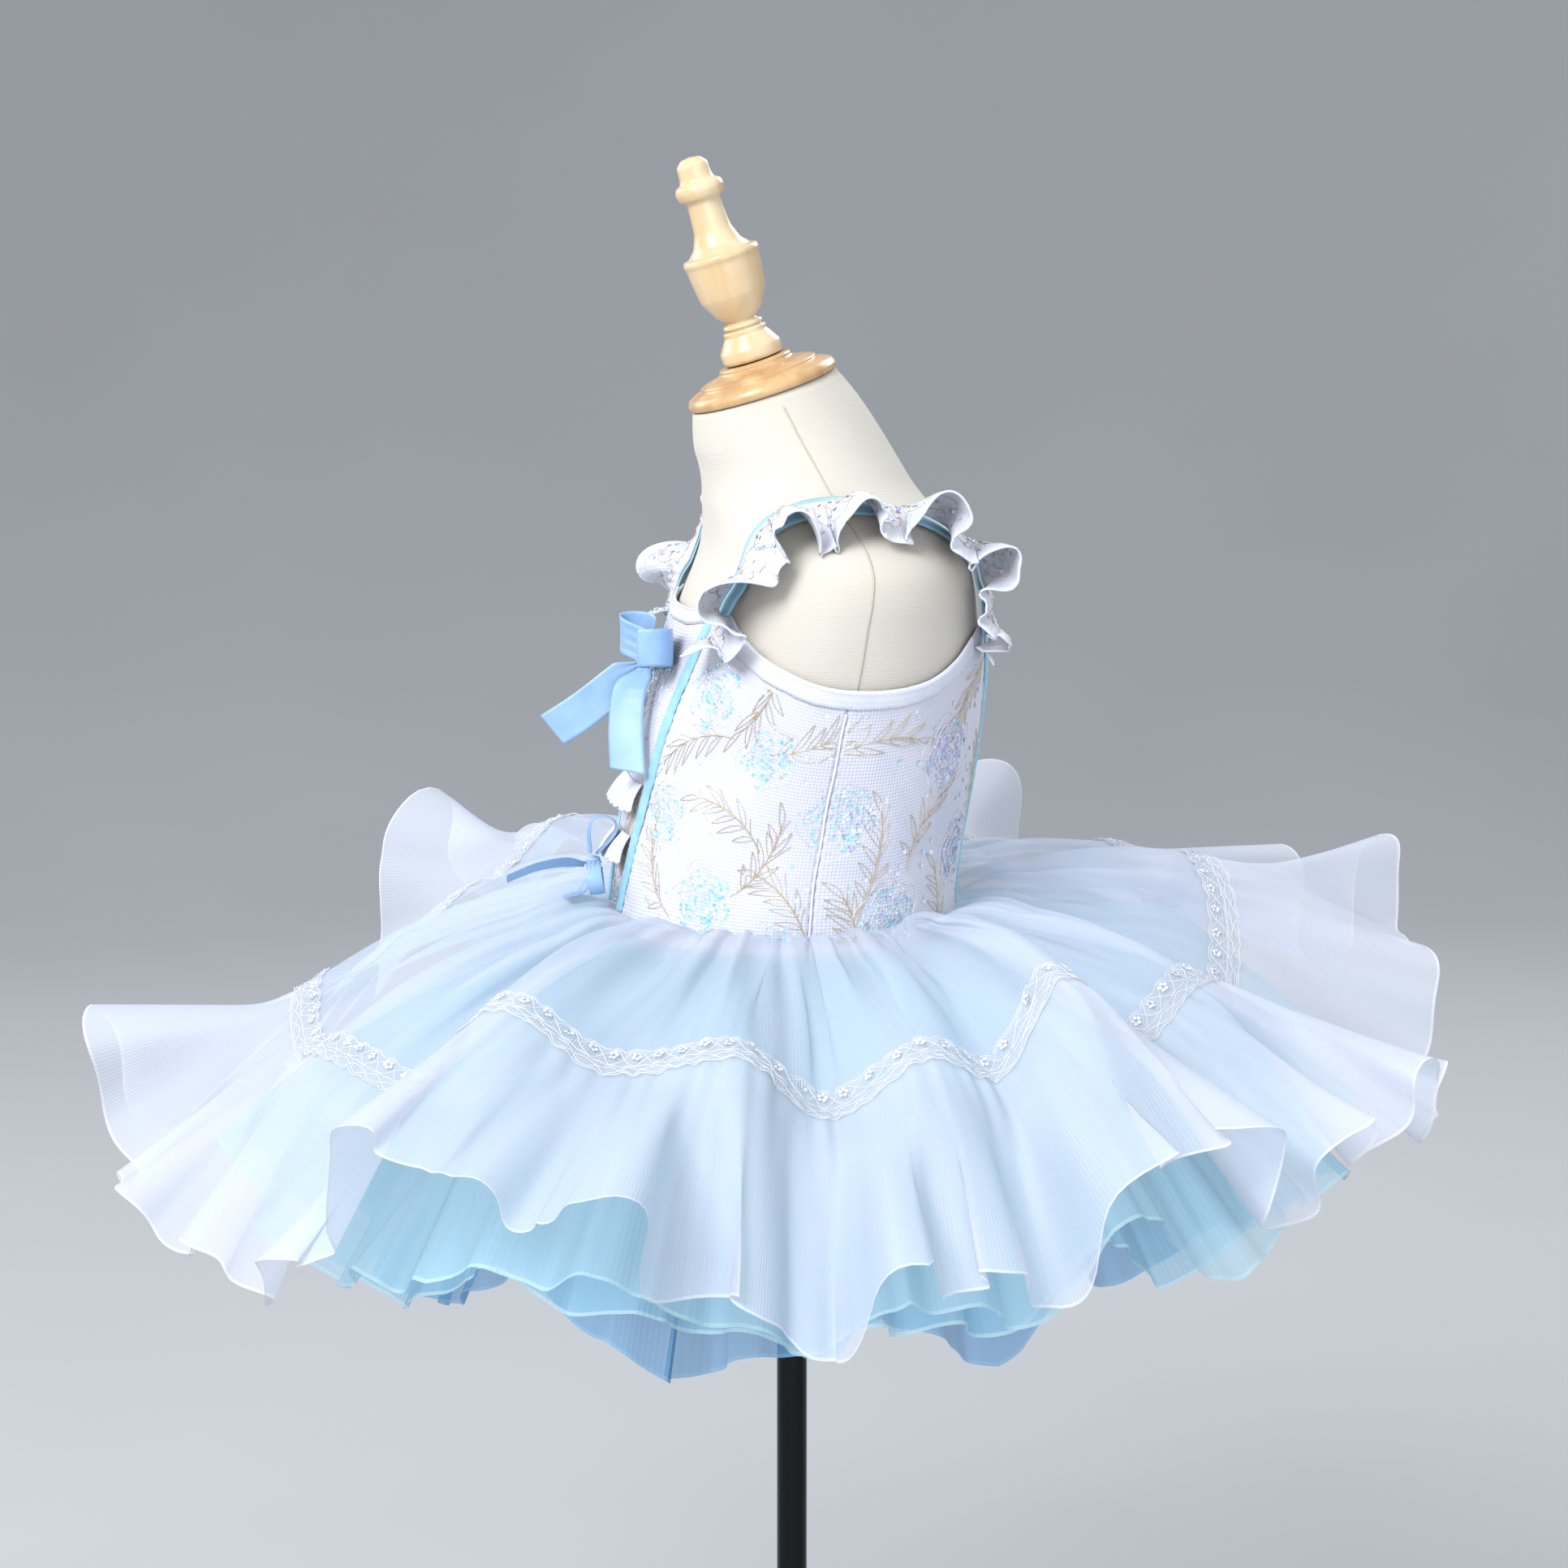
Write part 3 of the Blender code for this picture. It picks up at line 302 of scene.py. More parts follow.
# Straps, frills, lace and bows
def strap_middle(share):
    return STRAP_REACH + STRAP_BULGE * sin(pi * share) - 0.004 * share


def shoulder_end(x, height, side):
    """Where the form's surface is at a height, in front of or behind a point of the shoulder."""
    width, depth, middle, squareness = form_at(height)[:4]
    return middle + side * depth * (1 - (x / width) ** squareness) ** (1 / squareness)


def across_shoulder(share, x, front_height, back_height):
    """How far back a line over the shoulder is, from one height in front to another behind."""
    front, back = shoulder_end(x, front_height, -1), shoulder_end(x, back_height, 1)
    return front + (back - front) * (1 - cos(pi * share)) / 2


def strap_lift(level):
    """How far a strap is off the form: just clear of it, and on top of the panels at its two ends."""
    over_panel = eased((WAIST + 0.176 - level) / 0.01)
    return BODY_EASE + STRAP_EASE + (ON_PANEL - BODY_EASE) * over_panel


def chained(slopes, length, shares):
    """Run and fall of a hanging sheet at some shares of its length, from its slope in degrees all along."""
    lean = radians((slopes[:, 1:] + slopes[:, :-1]) / 2)
    steps = lean.shape[1]
    start = np.zeros((len(slopes), 1))
    parts = cos(lean) * (length / steps), sin(lean) * (length / steps)
    picked = [round(share * steps) for share in shares]
    return [concatenate([start, np.cumsum(part, axis=1)], axis=1)[:, picked] for part in parts]


# Slopes in degrees above the shoulder's surface: where the frill lies close, and where a wave lifts it.
FRILL_WAVES = 6
FRILL_CLOSE = (21, -21)
FRILL_LIFTED = (66, 22)
FRILL_STEPS = 100
FRILL_SEAM = -0.0025


def frill_grid(columns, rows):
    """The left frill: sewn along the strap, it falls over the shoulder and its waves are lifted."""
    share = linspace(0, 1, columns)
    x = strap_middle(share) + FRILL_SEAM
    base, normal = over_shoulder(x, across_shoulder(share, x, *FRILL_ENDS))
    path = unit(gradient(base, axis=0))
    outward = unit(np.cross(path, normal))
    lift = strap_lift(base[:, 2]) + CLOTH + SHEER / 2 + 2 * CLEARANCE
    phase = 2 * pi * FRILL_WAVES * share + 0.8 * sin(5.0 * share)
    wave = ((0.5 + 0.5 * cos(phase)) ** 1.6 * (0.84 + 0.16 * sin(11 * share + 0.5)))[:, None]
    reach = linspace(0, 1, FRILL_STEPS + 1)[None, :]
    close, lifted = (start + (end - start) * reach for start, end in (FRILL_CLOSE, FRILL_LIFTED))
    width = FRILL_WIDTH * (0.45 + 0.55 * eased(share / 0.1) * eased((1 - share) / 0.06))
    out, up = chained(close + (lifted - close) * wave, width[:, None], rows)
    swing = (0.1 * sin(2 * phase) * width)[:, None] * rows[None, :] ** 2
    grid = (base + normal * lift[:, None])[:, None, :] + outward[:, None, :] * out[..., None]
    return grid + normal[:, None, :] * up[..., None] + path[:, None, :] * swing[..., None]


FRONT_LACE = table(
    "LaceRow", "name height half_angle", ("front_lace_upper", 0.071, 13.2), ("front_lace_lower", 0.044, 10.3)
)
FRONT_LACE_DROP = 0.014


def smooth_path(corners, count):
    """A smooth curve through a few points, evenly stepped from first to last."""
    rows = table("Step", "at x y z", *((i, *point) for i, point in enumerate(corners)))
    at = linspace(0, len(rows) - 1, count)
    return stack([through(rows, "at", axis, at) for axis in "xyz"], axis=1)


def bow_loop(start, outward, up, length, height, count):
    """A teardrop loop that leaves the knot and comes back to it, its two ends a little apart."""
    turn = linspace(0, 1, count)[:, None]
    out, up = unit(asarray(outward, float)), unit(asarray(up, float))
    reach = length * sin(pi * turn) ** 0.9
    lift = height * sin(2 * pi * turn) + LOOP_GAP * (0.5 - turn)
    return asarray(start, float) + out * reach + up * lift


LOOP_GAP = 0.0034
BOW_TOP = array([0.0, -0.074, WAIST + 0.137])
BOW_WAIST = array([0.0, -0.104, WAIST + 0.027])
TOP_KNOT = (0.01, 0.012, 0.015)
WAIST_KNOT = (0.007, 0.008, 0.008)
UNDER_TOP = BOW_TOP - [0, 0, TOP_KNOT[2] / 2 + CLEARANCE]
WAIST_FRONT = BOW_WAIST - [0, WAIST_KNOT[1] / 2 + CLEARANCE, 0]
WAIST_BELOW = BOW_WAIST - [0, 0, WAIST_KNOT[2] / 2 + CLEARANCE]
LOOP_UP = BOW_WAIST + [0, 0, WAIST_KNOT[2] / 2 + CLEARANCE + 0.001]
LOOP_SIDE = BOW_WAIST + [WAIST_KNOT[0] / 2 + CLEARANCE + 0.0006, 0, 0]
WAIST_LOOPS = [
    ("loop_up", LOOP_UP, (0.15, 0.35, 1), (0, -1, 0.3), 0.021, 0.006, (1, 0, 0.1), 0.0095),
    ("loop_side", LOOP_SIDE, (1, -0.1, -0.45), (0.3, -0.2, 1), 0.02, 0.0055, (0, 1, 0.1), 0.0076),
]
# Each tail's start, the way its ribbon lies across, how it narrows, cups and is cut, and its corners.
TOP_TAILS = [
    (
        "tail_down", UNDER_TOP, (0.5, 0.85, 0.1), (0.35, 0.0014, 0.25),
        [[0.001, -0.002, -0.0006], [0.007, -0.011, -0.01], [0.016, -0.015, -0.028], [0.03, -0.0165, -0.05]],
    ),
    (
        "tail_front", UNDER_TOP, (-0.15, -0.52, 0.85), (0.3, 0.0012, 0.12),
        [[-0.0025, -0.0035, 0], [-0.0035, -0.018, -0.011]]
        + [[-0.004, -0.034, -0.023], [-0.004, -0.05, -0.033]],
    ),
]
WAIST_TAILS = [
    (
        "tail_front", WAIST_FRONT, (0.75, 0.1, 0.65), (0.6, 0.0006, 0.2),
        [[0, -0.0001, 0], [-0.001, -0.012, 0.001], [-0.002, -0.026, -0.0015], [-0.003, -0.04, -0.007]],
    ),
    (
        "tail_down", WAIST_BELOW, (1, 0.25, 0.1), (0.6, 0.0006, 0.2),
        [[0.0005, 0, -0.0005], [0.002, -0.004, -0.006], [0.004, -0.008, -0.01], [0.006, -0.016, -0.0115]],
    ),
]


# The skirt's layers
def waist_point(azimuth, height):
    """Where a layer is sewn to the bodice's foot."""
    return torso(azimuth, height, BODICE_FACE + 2 * CLEARANCE + 0.08 * max(-height, 0))


def radial(azimuth):
    turn = radians(azimuth)
    return stack([sin(turn), -cos(turn), 0 * turn], axis=-1)


def hung(base, azimuth, run, rise):
    """Points that are some run out from their base and some rise above it."""
    lift = stack([0 * rise, 0 * rise, rise], axis=-1)
    return base[:, None, :] + radial(azimuth)[:, None, :] * run[..., None] + lift


def overskirt_grid(azimuth, shares):
    """From the waist to the flounce's seam: an arched sheet whose pleats open towards it."""
    turn, share = azimuth[:, None], asarray(shares)[None, :]
    seam_rise = folded(OVERSKIRT_FOLDS, turn)
    longer_in_front = FRONT_REACH * clip(cos(radians(turn - 10)), 0, 1) ** 3
    run = 0.985 * np.sqrt((OVERSKIRT_LENGTH + longer_in_front) ** 2 - seam_rise**2)
    fade = sin(pi * clip(share / 0.75, 0, 1))
    gather = GATHER_DEPTH * fade * cos(radians(GATHERS * turn))
    puff = SKIRT_PUFF * sin(pi * clip(share / 0.3, 0, 1)) - SKIRT_SEAM * share
    rise = seam_rise * share**1.15 + OVERSKIRT_ARCH * sin(pi * share) + gather + puff
    return hung(waist_point(azimuth, SKIRT_SEAM), azimuth, run * share, rise)


def flounce_grid(azimuth, shares):
    """The flounce from the overskirt's edge: it leaves at the edge's slope and bends to its own droop."""
    close = overskirt_grid(azimuth, (0.97, 1.0))
    edge, before = close[:, 1], close[:, 0]
    run = ((edge - before) * radial(azimuth)).sum(-1)
    leave = degrees(np.arctan2(before[:, 2] - edge[:, 2], run))
    droop = folded(FLOUNCE_FOLDS, azimuth)
    at = linspace(0, 1, STEPS + 1)[None, :]
    slopes = leave[:, None] + (droop - leave)[:, None] * eased((at - 0.05) / 0.3)
    run, fall = chained(slopes, FLOUNCE_LENGTH, shares)
    return hung(edge, azimuth, run, -fall)


def net_grid(net, azimuth, shares):
    """A stiff net under the overskirt: it follows the overskirt out and then hangs from a soft knee."""
    fall = net.drop - net.start - 0.75 * folded(OVERSKIRT_FOLDS, azimuth)
    inner = degrees(arcsin(fall / NET_INNER_RUN))
    turn = radians(azimuth)
    follow = NET_FOLLOWS * clip(folded(FLOUNCE_FOLDS, azimuth) - MIDDLE_DROOP, -12, 60)
    follow += NET_PLEAT * (2 / pi) * arcsin(0.96 * cos(NET_PLEATS * turn + 0.6 * sin(3 * turn)))
    outer = net.droop + follow + net.sway * cos(net.waves * turn + net.phase)
    at = linspace(0, 1, STEPS + 1)[None, :]
    knee = eased((at - NET_KNEE[0]) / (NET_KNEE[1] - NET_KNEE[0]))
    run, fall = chained(inner[:, None] + (outer - inner)[:, None] * knee, 1.0, shares)
    length = net.length + 0 * azimuth
    for point in HEM_POINTS:
        if point.net == net.name:
            away = np.abs((azimuth - point.azimuth + 180) % 360 - 180)
            length += point.length * clip(1 - away / point.spread, 0, 1)
    base = waist_point(azimuth, -net.start)
    return hung(base, azimuth, run * length[:, None], -fall * length[:, None])


rng = np.random.default_rng(11)


# Materials
def linear(r, g, b):
    return tuple(c / 12.92 if c <= 0.04045 else ((c + 0.055) / 1.055) ** 2.4 for c in (r, g, b))


class Look:
    """A Principled material with its node tree at hand. Its values are named after the shader's sockets."""

    def __init__(self, name, colour, roughness, **values):
        self.material = bpy.data.materials.new(name)
        self.material.use_nodes = True
        self.tree = self.material.node_tree
        self.shader = self.tree.nodes["Principled BSDF"]
        self.colour = (*colour, 1.0)
        self.shader.inputs["Base Color"].default_value = self.colour
        self.shader.inputs["Roughness"].default_value = roughness
        for key, value in values.items():
            self.shader.inputs[key.replace("_", " ")].default_value = value

    def node(self, kind, **settings):
        """A node whose sockets are set, or linked where another node's socket is given."""
        made = self.tree.nodes.new(kind)
        for key, value in settings.items():
            if key not in made.inputs:
                setattr(made, key, value)
            elif isinstance(value, bpy.types.NodeSocket):
                self.link(value, made.inputs[key])
            else:
                made.inputs[key].default_value = value
        return made

    def link(self, start, end):
        self.tree.links.new(start, end)

    def coordinates(self, kind, scale=(1, 1, 1)):
        source = self.node("ShaderNodeTexCoord").outputs[kind]
        return self.node("ShaderNodeMapping", Vector=source, Scale=scale).outputs["Vector"]

    def wave(self, place, direction, scale, **more):
        made = self.node("ShaderNodeTexWave", Vector=place, bands_direction=direction, Scale=scale, **more)
        return made.outputs["Fac"]

    def mottled(self, scale, detail=3.0, stretch=(1, 1, 1)):
        place = self.coordinates("Object", stretch)
        return self.node("ShaderNodeTexNoise", Vector=place, Scale=scale, Detail=detail).outputs["Fac"]

    def bump(self, height, strength, distance, **under):
        made = self.node("ShaderNodeBump", Height=height, Strength=strength, Distance=distance, **under)
        self.link(made.outputs["Normal"], self.shader.inputs["Normal"])
        return made.outputs["Normal"]

    def tint(self, factor, other, low=0.35, high=0.65):
        ramp = self.node("ShaderNodeValToRGB", Fac=factor)
        ends = ramp.color_ramp.elements
        for end, place, colour in ((ends[0], low, self.colour), (ends[1], high, (*other, 1.0))):
            end.position = place
            end.color = colour
        self.link(ramp.outputs["Color"], self.shader.inputs["Base Color"])

    def woven(self, warp, weft, strength, distance=0.0004):
        """Two crossed ribs, along and across the cloth, counted to the metre."""
        place = self.coordinates("UV")
        both = self.node("ShaderNodeMath", operation="ADD")
        self.link(self.wave(place, "X", warp), both.inputs[0])
        self.link(self.wave(place, "Y", weft), both.inputs[1])
        self.bump(both.outputs[0], strength, distance)


def cloth(name, colour, roughness, patches=None, weave=None, **values):
    """A material with soft patches of another colour, given with their scale and detail, and a weave."""
    look = Look(name, linear(*colour), roughness, **values)
    if patches:
        other, scale, detail, *ends = patches
        look.tint(look.mottled(scale, detail), linear(*other), *ends)
    if weave:
        look.woven(*weave)
    return look


def sheer(name, colour, alpha, ribs):
    """Organza or net: see-through by a plain share, with ribs along its length, counted to the metre."""
    look = Look(name, linear(*colour), 0.5, Alpha=alpha, Specular_IOR_Level=0.35)
    look.bump(look.wave(look.coordinates("UV"), "X", ribs), 0.35, 0.0003)
    return look


SEQUINS = ("sequin_aqua", "sequin_ice", "sequin_lilac", "sequin_clear")
SEQUIN_COLOURS = ((0.54, 0.85, 0.97), (0.74, 0.92, 0.985), (0.74, 0.71, 0.96), (0.93, 0.945, 0.99))
AQUA, ICE, LILAC, CLEAR = range(4)


def make_materials():
    linen = cloth(
        "linen", (0.89, 0.865, 0.82), 0.88, ((0.86, 0.83, 0.78), 14.0, 6.0, 0.3, 0.75), Sheen_Weight=0.15
    )
    under = linen.bump(linen.mottled(900.0, 2.0), 0.35, 0.0004)
    ribs = linen.wave(linen.coordinates("Object"), "Z", 260, Distortion=2.0)
    linen.bump(ribs, 0.18, 0.0003, Normal=under)
    looks = [linen, cloth("linen_seam", (0.825, 0.785, 0.725), 0.9)]

    for name, light, dark, rough in (
        ("maple", (0.955, 0.865, 0.71), (0.89, 0.745, 0.54), 0.3),
        ("beech", (0.885, 0.73, 0.53), (0.76, 0.56, 0.36), 0.32),
    ):
        look = Look(name, linear(*light), rough, Coat_Weight=0.35, Coat_Roughness=0.18)
        grain = look.mottled(60.0, 5.0, (1.0, 1.0, 0.06))
        look.tint(grain, linear(*dark), 0.42, 0.7)
        look.bump(grain, 0.1, 0.0004)
        looks.append(look)

    steel = Look("steel", (0.018, 0.018, 0.021), 0.24, Metallic=0.9)
    steel.bump(steel.mottled(240.0, 2.0), 0.05, 0.0003)
    trim = cloth(
        "trim", (0.66, 0.865, 0.955), 0.65, ((0.6, 0.82, 0.93), 90.0, 3.0),
        Sheen_Weight=0.5, Sheen_Roughness=0.3,
    )
    trim.bump(trim.mottled(1500.0, 2.0), 0.35, 0.0005)
    looks += [steel, trim]

    film = {"Coat_Weight": 1.0, "Coat_Roughness": 0.05, "Thin_Film_Thickness": 380.0, "Thin_Film_IOR": 1.45}
    glint = ((0.9, 0.92, 1.0), 160.0, 2.0, 0.4, 0.72)
    looks += [cloth(name, colour, 0.24, glint, **film) for name, colour in zip(SEQUINS, SEQUIN_COLOURS)]
    looks += [
        cloth(
            "bodice_ground", (0.905, 0.905, 0.95), 0.62, ((0.87, 0.875, 0.94), 34.0, 2.0),
            (190, 170, 0.3, 0.0005), Sheen_Weight=0.25, Sheen_Roughness=0.35,
        ),
        cloth(
            "frill_net", (0.955, 0.96, 0.99), 0.6, ((0.9, 0.91, 0.97), 60.0, 4.0),
            (190, 170, 0.3, 0.0005), Alpha=0.84, Sheen_Weight=0.35,
        ),
        cloth("gold_thread", (0.87, 0.755, 0.57), 0.42, ((0.9, 0.835, 0.72), 200.0, 2.0), Metallic=0.15),
        cloth(
            "white_thread", (0.975, 0.975, 0.995), 0.7, ((0.92, 0.93, 0.98), 120.0, 2.0), Sheen_Weight=0.3,
        ),
        cloth(
            "elastic", (0.955, 0.96, 0.99), 0.55, ((0.91, 0.925, 0.985), 60.0, 3.0),
            (420, 90, 0.35), Sheen_Weight=0.4, Sheen_Roughness=0.4,
        ),
        cloth(
            "satin", (0.64, 0.785, 0.945), 0.34, ((0.58, 0.735, 0.92), 55.0, 3.0),
            (60, 520, 0.16, 0.0003), Sheen_Weight=0.15, Anisotropic=0.5,
        ),
        cloth("lace_band", (0.95, 0.958, 0.992), 0.75, None, (210, 190, 0.6, 0.0008), Alpha=0.32),
        cloth("lace", (0.955, 0.96, 0.992), 0.75, ((0.92, 0.93, 0.985), 150.0, 2.0), Alpha=0.9),
        sheer("organza", (0.89, 0.925, 1.0), 0.42, 330),
        sheer("organza_flounce", (0.915, 0.938, 1.0), 0.5, 330),
        sheer("organza_hem", (0.955, 0.965, 0.997), 0.68, 330),
        sheer("net_upper", (0.74, 0.895, 0.965), 0.58, 150),
        # The middle net is the upper net's aqua cloth, darkened as painted shade for the shadow the upper
        # net no longer casts.
        sheer("net_middle", (0.63, 0.83, 0.935), 0.66, 150),
        # The lower net is a bluer net of its own, darkened further with painted shade from the nets above.
        sheer("net_lower", (0.44, 0.66, 0.83), 0.74, 150),
        sheer("net_hem", (0.79, 0.93, 0.975), 0.78, 150),
        # The lower net's hem: its own blue with the same painted shade.
        sheer("net_lower_hem", (0.52, 0.72, 0.87), 0.8, 150),
    ]
    return {look.material.name: look.material for look in looks}


# Meshes
def plain_mesh(name, points, faces, materials, slots=None, smooth=True):
    mesh = bpy.data.meshes.new(name)
    mesh.from_pydata(asarray(points, float).tolist(), [], asarray(faces).tolist())
    for material in materials:
        mesh.materials.append(material)
    if slots is not None:
        mesh.polygons.foreach_set("material_index", asarray(slots, np.int32))
    if smooth:
        mesh.shade_smooth()
    made = bpy.data.objects.new(name, mesh)
    bpy.context.scene.collection.objects.link(made)
    return made


def grid_mesh(name, grid, closed, materials, row_slots=None):
    """A smooth sheet through a grid of points, with UVs in metres along and across the cloth."""
    columns, rows, _ = grid.shape
    ahead = roll(grid, -1, axis=0) if closed else grid[1:]
    i, j = (a.ravel() for a in np.meshgrid(arange(len(ahead)), arange(rows - 1), indexing="ij"))
    after = (i + 1) % columns
    faces = stack([i * rows + j, after * rows + j, after * rows + j + 1, i * rows + j + 1], axis=1)
    slots = None if row_slots is None else asarray(row_slots)[j]
    made = plain_mesh(name, grid.reshape(-1, 3), faces, materials, slots)
    step = np.linalg.norm((ahead - grid[: len(ahead)]), axis=2).mean()
    down = np.linalg.norm(np.diff(grid, axis=1), axis=2).mean(axis=0)
    v = concatenate([[0], np.cumsum(down)])
    corners_u = stack([i, i + 1, i + 1, i], axis=1) * step
    corners_v = stack([v[j], v[j], v[j + 1], v[j + 1]], axis=1)
    layer = made.data.uv_layers.new(name="cloth")
    layer.data.foreach_set("uv", stack([corners_u, corners_v], axis=2).ravel())
    return made


def settle(piece, slot, *nodes):
    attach(piece, "root")
    if nodes:
        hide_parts(*nodes)
    return piece


def cell_areas(grid, closed):
    ahead = roll(grid, -1, axis=0) if closed else grid[1:]
    here = grid[: len(ahead)]
    a, b, c, d = here[:, :-1], ahead[:, :-1], ahead[:, 1:], here[:, 1:]
    halves = (np.linalg.norm(np.cross(p - a, q - a), axis=-1).sum() for p, q in ((b, c), (c, d)))
    return float(sum(halves) / 2)


# Walls: thickness, and whether they lie on both sides of the surface, 0, or under it, -1
PANEL_WALL = (0.0007, -1.0)
RIBBON_WALL = (0.0006, -1.0)
NET_WALL = (0.0005, 0.0)
SATIN_WALL = (0.0004, 0.0)


def sewn(name, node, slot, grid, cloths, wall=None, row_slots=None):
    """A piece of cloth: a smooth sheet through its grid, with a wall where one is given.

    Its area is worked out and goes no further. A sheet without
    a wall of its own goes all the way round.
    """
    closed = wall is None
    piece = grid_mesh(name, grid, closed, cloths, row_slots)
    if wall:
        shell = piece.modifiers.new("shell", "SOLIDIFY")
        shell.thickness, shell.offset = wall
    settle(piece, slot, node)
    area = cell_areas(grid, closed)
    return piece


def stitched(line):
    """A running stitch along a line."""
    return [line[k : k + 4] for k in range(0, len(line) - 4, 6)]


def round_the_ring(grid):
    return roll(grid, -1, axis=0) - roll(grid, 1, axis=0)


def surface_normals(grid, closed):
    along = round_the_ring(grid) if closed else gradient(grid, axis=0)
    return unit(np.cross(gradient(grid, axis=1), along))


def tubes(name, lines, radius, material, sides=4):
    """Thin threads along many lines, joined in one mesh."""
    points, faces = [], []
    for line in lines:
        line = asarray(line, float)
        path = unit(gradient(line, axis=0))
        helper = where(np.abs(path[:, 2:]) > 0.8, [[1.0, 0, 0]], [[0, 0, 1.0]])
        side = unit(np.cross(path, helper))
        other = np.cross(path, side)
        start, n = len(points), len(line)
        for k in range(sides):
            turn = 2 * pi * k / sides
            points.extend(line + radius * (math.cos(turn) * side + math.sin(turn) * other))
            a, b = start + k * n, start + (k + 1) % sides * n
            faces.extend((a + m, b + m, b + m + 1, a + m + 1) for m in range(n - 1))
    return plain_mesh(name, points, faces, [material])


def discs(name, centres, normals, radii, kinds, materials, sides=8, dish=0.18):
    """Sequins: small dished discs, each a little tilted."""
    centres, normals = asarray(centres, float), asarray(normals, float)
    normals = unit(normals + rng.normal(0, 0.16, normals.shape))
    side = unit(np.cross(normals, rng.normal(0, 1, normals.shape)))
    other = np.cross(normals, side)
    radii = asarray(radii, float)[:, None]
    points = [centres - normals * radii * dish]
    for turn in (math.tau * k / sides for k in range(sides)):
        points.append(centres + radii * (math.cos(turn) * side + math.sin(turn) * other))
    base = arange(len(centres)) * (sides + 1)
    faces = [(b, b + 1 + k, b + 1 + (k + 1) % sides) for b in base for k in range(sides)]
    points = stack(points, axis=1).reshape(-1, 3)
    return plain_mesh(name, points, faces, materials, np.repeat(kinds, sides), smooth=False)


# The form and its stand
def turned_grid(radius, along, steps):
    turn = radians(all_round(steps))[:, None]
    return stack([radius * cos(turn), radius * sin(turn), along + 0 * turn], axis=-1)


def capped(grid):
    """A ring's grid closed by a point in the middle of each end."""
    low, high = (end.mean(axis=0, keepdims=True) + 0 * end for end in (grid[:, :1], grid[:, -1:]))
    return concatenate([low, grid, high], axis=1)


def revolve(name, rows, steps, material):
    """A turned piece, its corners eased by a short bevel between the rows."""
    rows = array(rows)
    profile = [rows[0]]
    for row, after in zip(rows[:-1], rows[1:]):
        ease = min(0.12, 0.0007 / max(math.hypot(*(after - row)), 1e-6))
        profile += [row + (after - row) * t for t in (ease, 0.5, 1 - ease)]
    radius, along = array([*profile, rows[-1]]).T
    return grid_mesh(name, turned_grid(radius, along, steps), True, [material])


def make_stand(looks):
    foot, top = FORM_SECTIONS[0], FORM_SECTIONS[-1]
    body = ring_point(all_round(160)[:, None], linspace(foot.height, top.height, 110)[None, :])
    settle(grid_mesh("form_cover", capped(body), True, [looks["linen"]]), "form_linen", "form_body")
    sides = (SIDE_SEAM + 1.5, 358.5 - SIDE_SEAM)
    seams = [torso(side, linspace(0.112, 0.262, 60), 0.0002) for side in sides]
    seams += [torso(side, linspace(-0.125, -0.03, 30), 0.0002) for side in (*sides, 0.0, 180.0)]
    settle(tubes("form_seams", seams, 0.00045, looks["linen_seam"], 6), "form_linen")
    lean = math.radians(NECK_TILT)
    axis = array([0.0, -math.sin(lean), math.cos(lean)])
    seat = array([0.0, top.middle, WAIST + top.height])
    for name, node, rows, look, lift in (
        ("neck_block", "neck_cap", CAP_ROWS, "beech", CLEARANCE),
        ("neck_turning", "neck_finial", FINIAL_ROWS, "maple", 2 * CLEARANCE),
    ):
        piece = revolve(name, rows, 96, looks[look])
        piece.location = seat + axis * lift
        piece.rotation_euler = (lean, 0, 0)
        settle(piece, "turned_wood", node)
    flange = WAIST + foot.height - CLEARANCE
    pole = ((POLE_RADIUS, flange), (POLE_RADIUS, FOOT_ROWS[0][1] + CLEARANCE))
    socket = (
        (0.03, flange), (0.03, flange - 0.004), (0.015, flange - 0.009), (0.0135, flange - 0.03),
        (POLE_RADIUS + CLEARANCE, flange - 0.03),
    )
    for name, node, rows, steps in (
        ("foot_plate", "stand_foot", FOOT_ROWS, 160),
        ("pole", "stand_pole", pole, 64),
        ("pole_socket", "stand_socket", socket, 64),
    ):
        settle(revolve(name, rows, steps, looks["steel"]), "black_steel", node)


# The bodice
PANELS = table(
    "Panel", "node left right width length",
    ("bodice_front_centre", lambda h: -front_seam(h), front_seam, 0.105, 0.18),
    ("bodice_back_centre", back_seam, lambda h: 360 - back_seam(h), 0.09, 0.17),
    ("bodice_front_left", front_seam, side_seam, 0.125, 0.18),
    ("bodice_back_left", side_seam, back_seam, 0.12, 0.17),
    ("bodice_back_right", lambda h: 360 - back_seam(h), lambda h: 360 - side_seam(h), 0.12, 0.17),
    ("bodice_front_right", lambda h: -side_seam(h), lambda h: -front_seam(h), 0.125, 0.18),
)
PANEL_GAP = 0.00005


def make_bodice(looks):
    share = linspace(0, 1, 60)[:, None]
    rise = linspace(0, 1, 70)[None, :]
    for panel in PANELS:
        height = BODICE_FOOT + rise * (0.15 - BODICE_FOOT) + 0 * share
        for _ in range(6):
            gap = degrees(PANEL_GAP / form_at(height)[0])
            azimuth = (panel.left(height) + gap) * (1 - share) + (panel.right(height) - gap) * share
            height = BODICE_FOOT + rise * (top_edge(azimuth) - BODICE_FOOT)
        edge = np.minimum(share, 1 - share) * panel.width
        sunk = 0.0003 * exp(-((edge / 0.0014) ** 2))
        pucker = 0.00035 * exp(-((edge / 0.01) ** 2)) * sin(height * 900 + 3 * azimuth)
        ripple = 0.0003 * sin(height * 95 + azimuth * 0.11) * sin(azimuth * 0.21 + 1.0)
        grid = torso(azimuth, height, BODICE_FACE - sunk + pucker + ripple)
        name, cloths = f"{panel.node}_cloth", [looks["bodice_ground"]]
        sewn(name, panel.node, "sequin_lace", grid, cloths, PANEL_WALL)


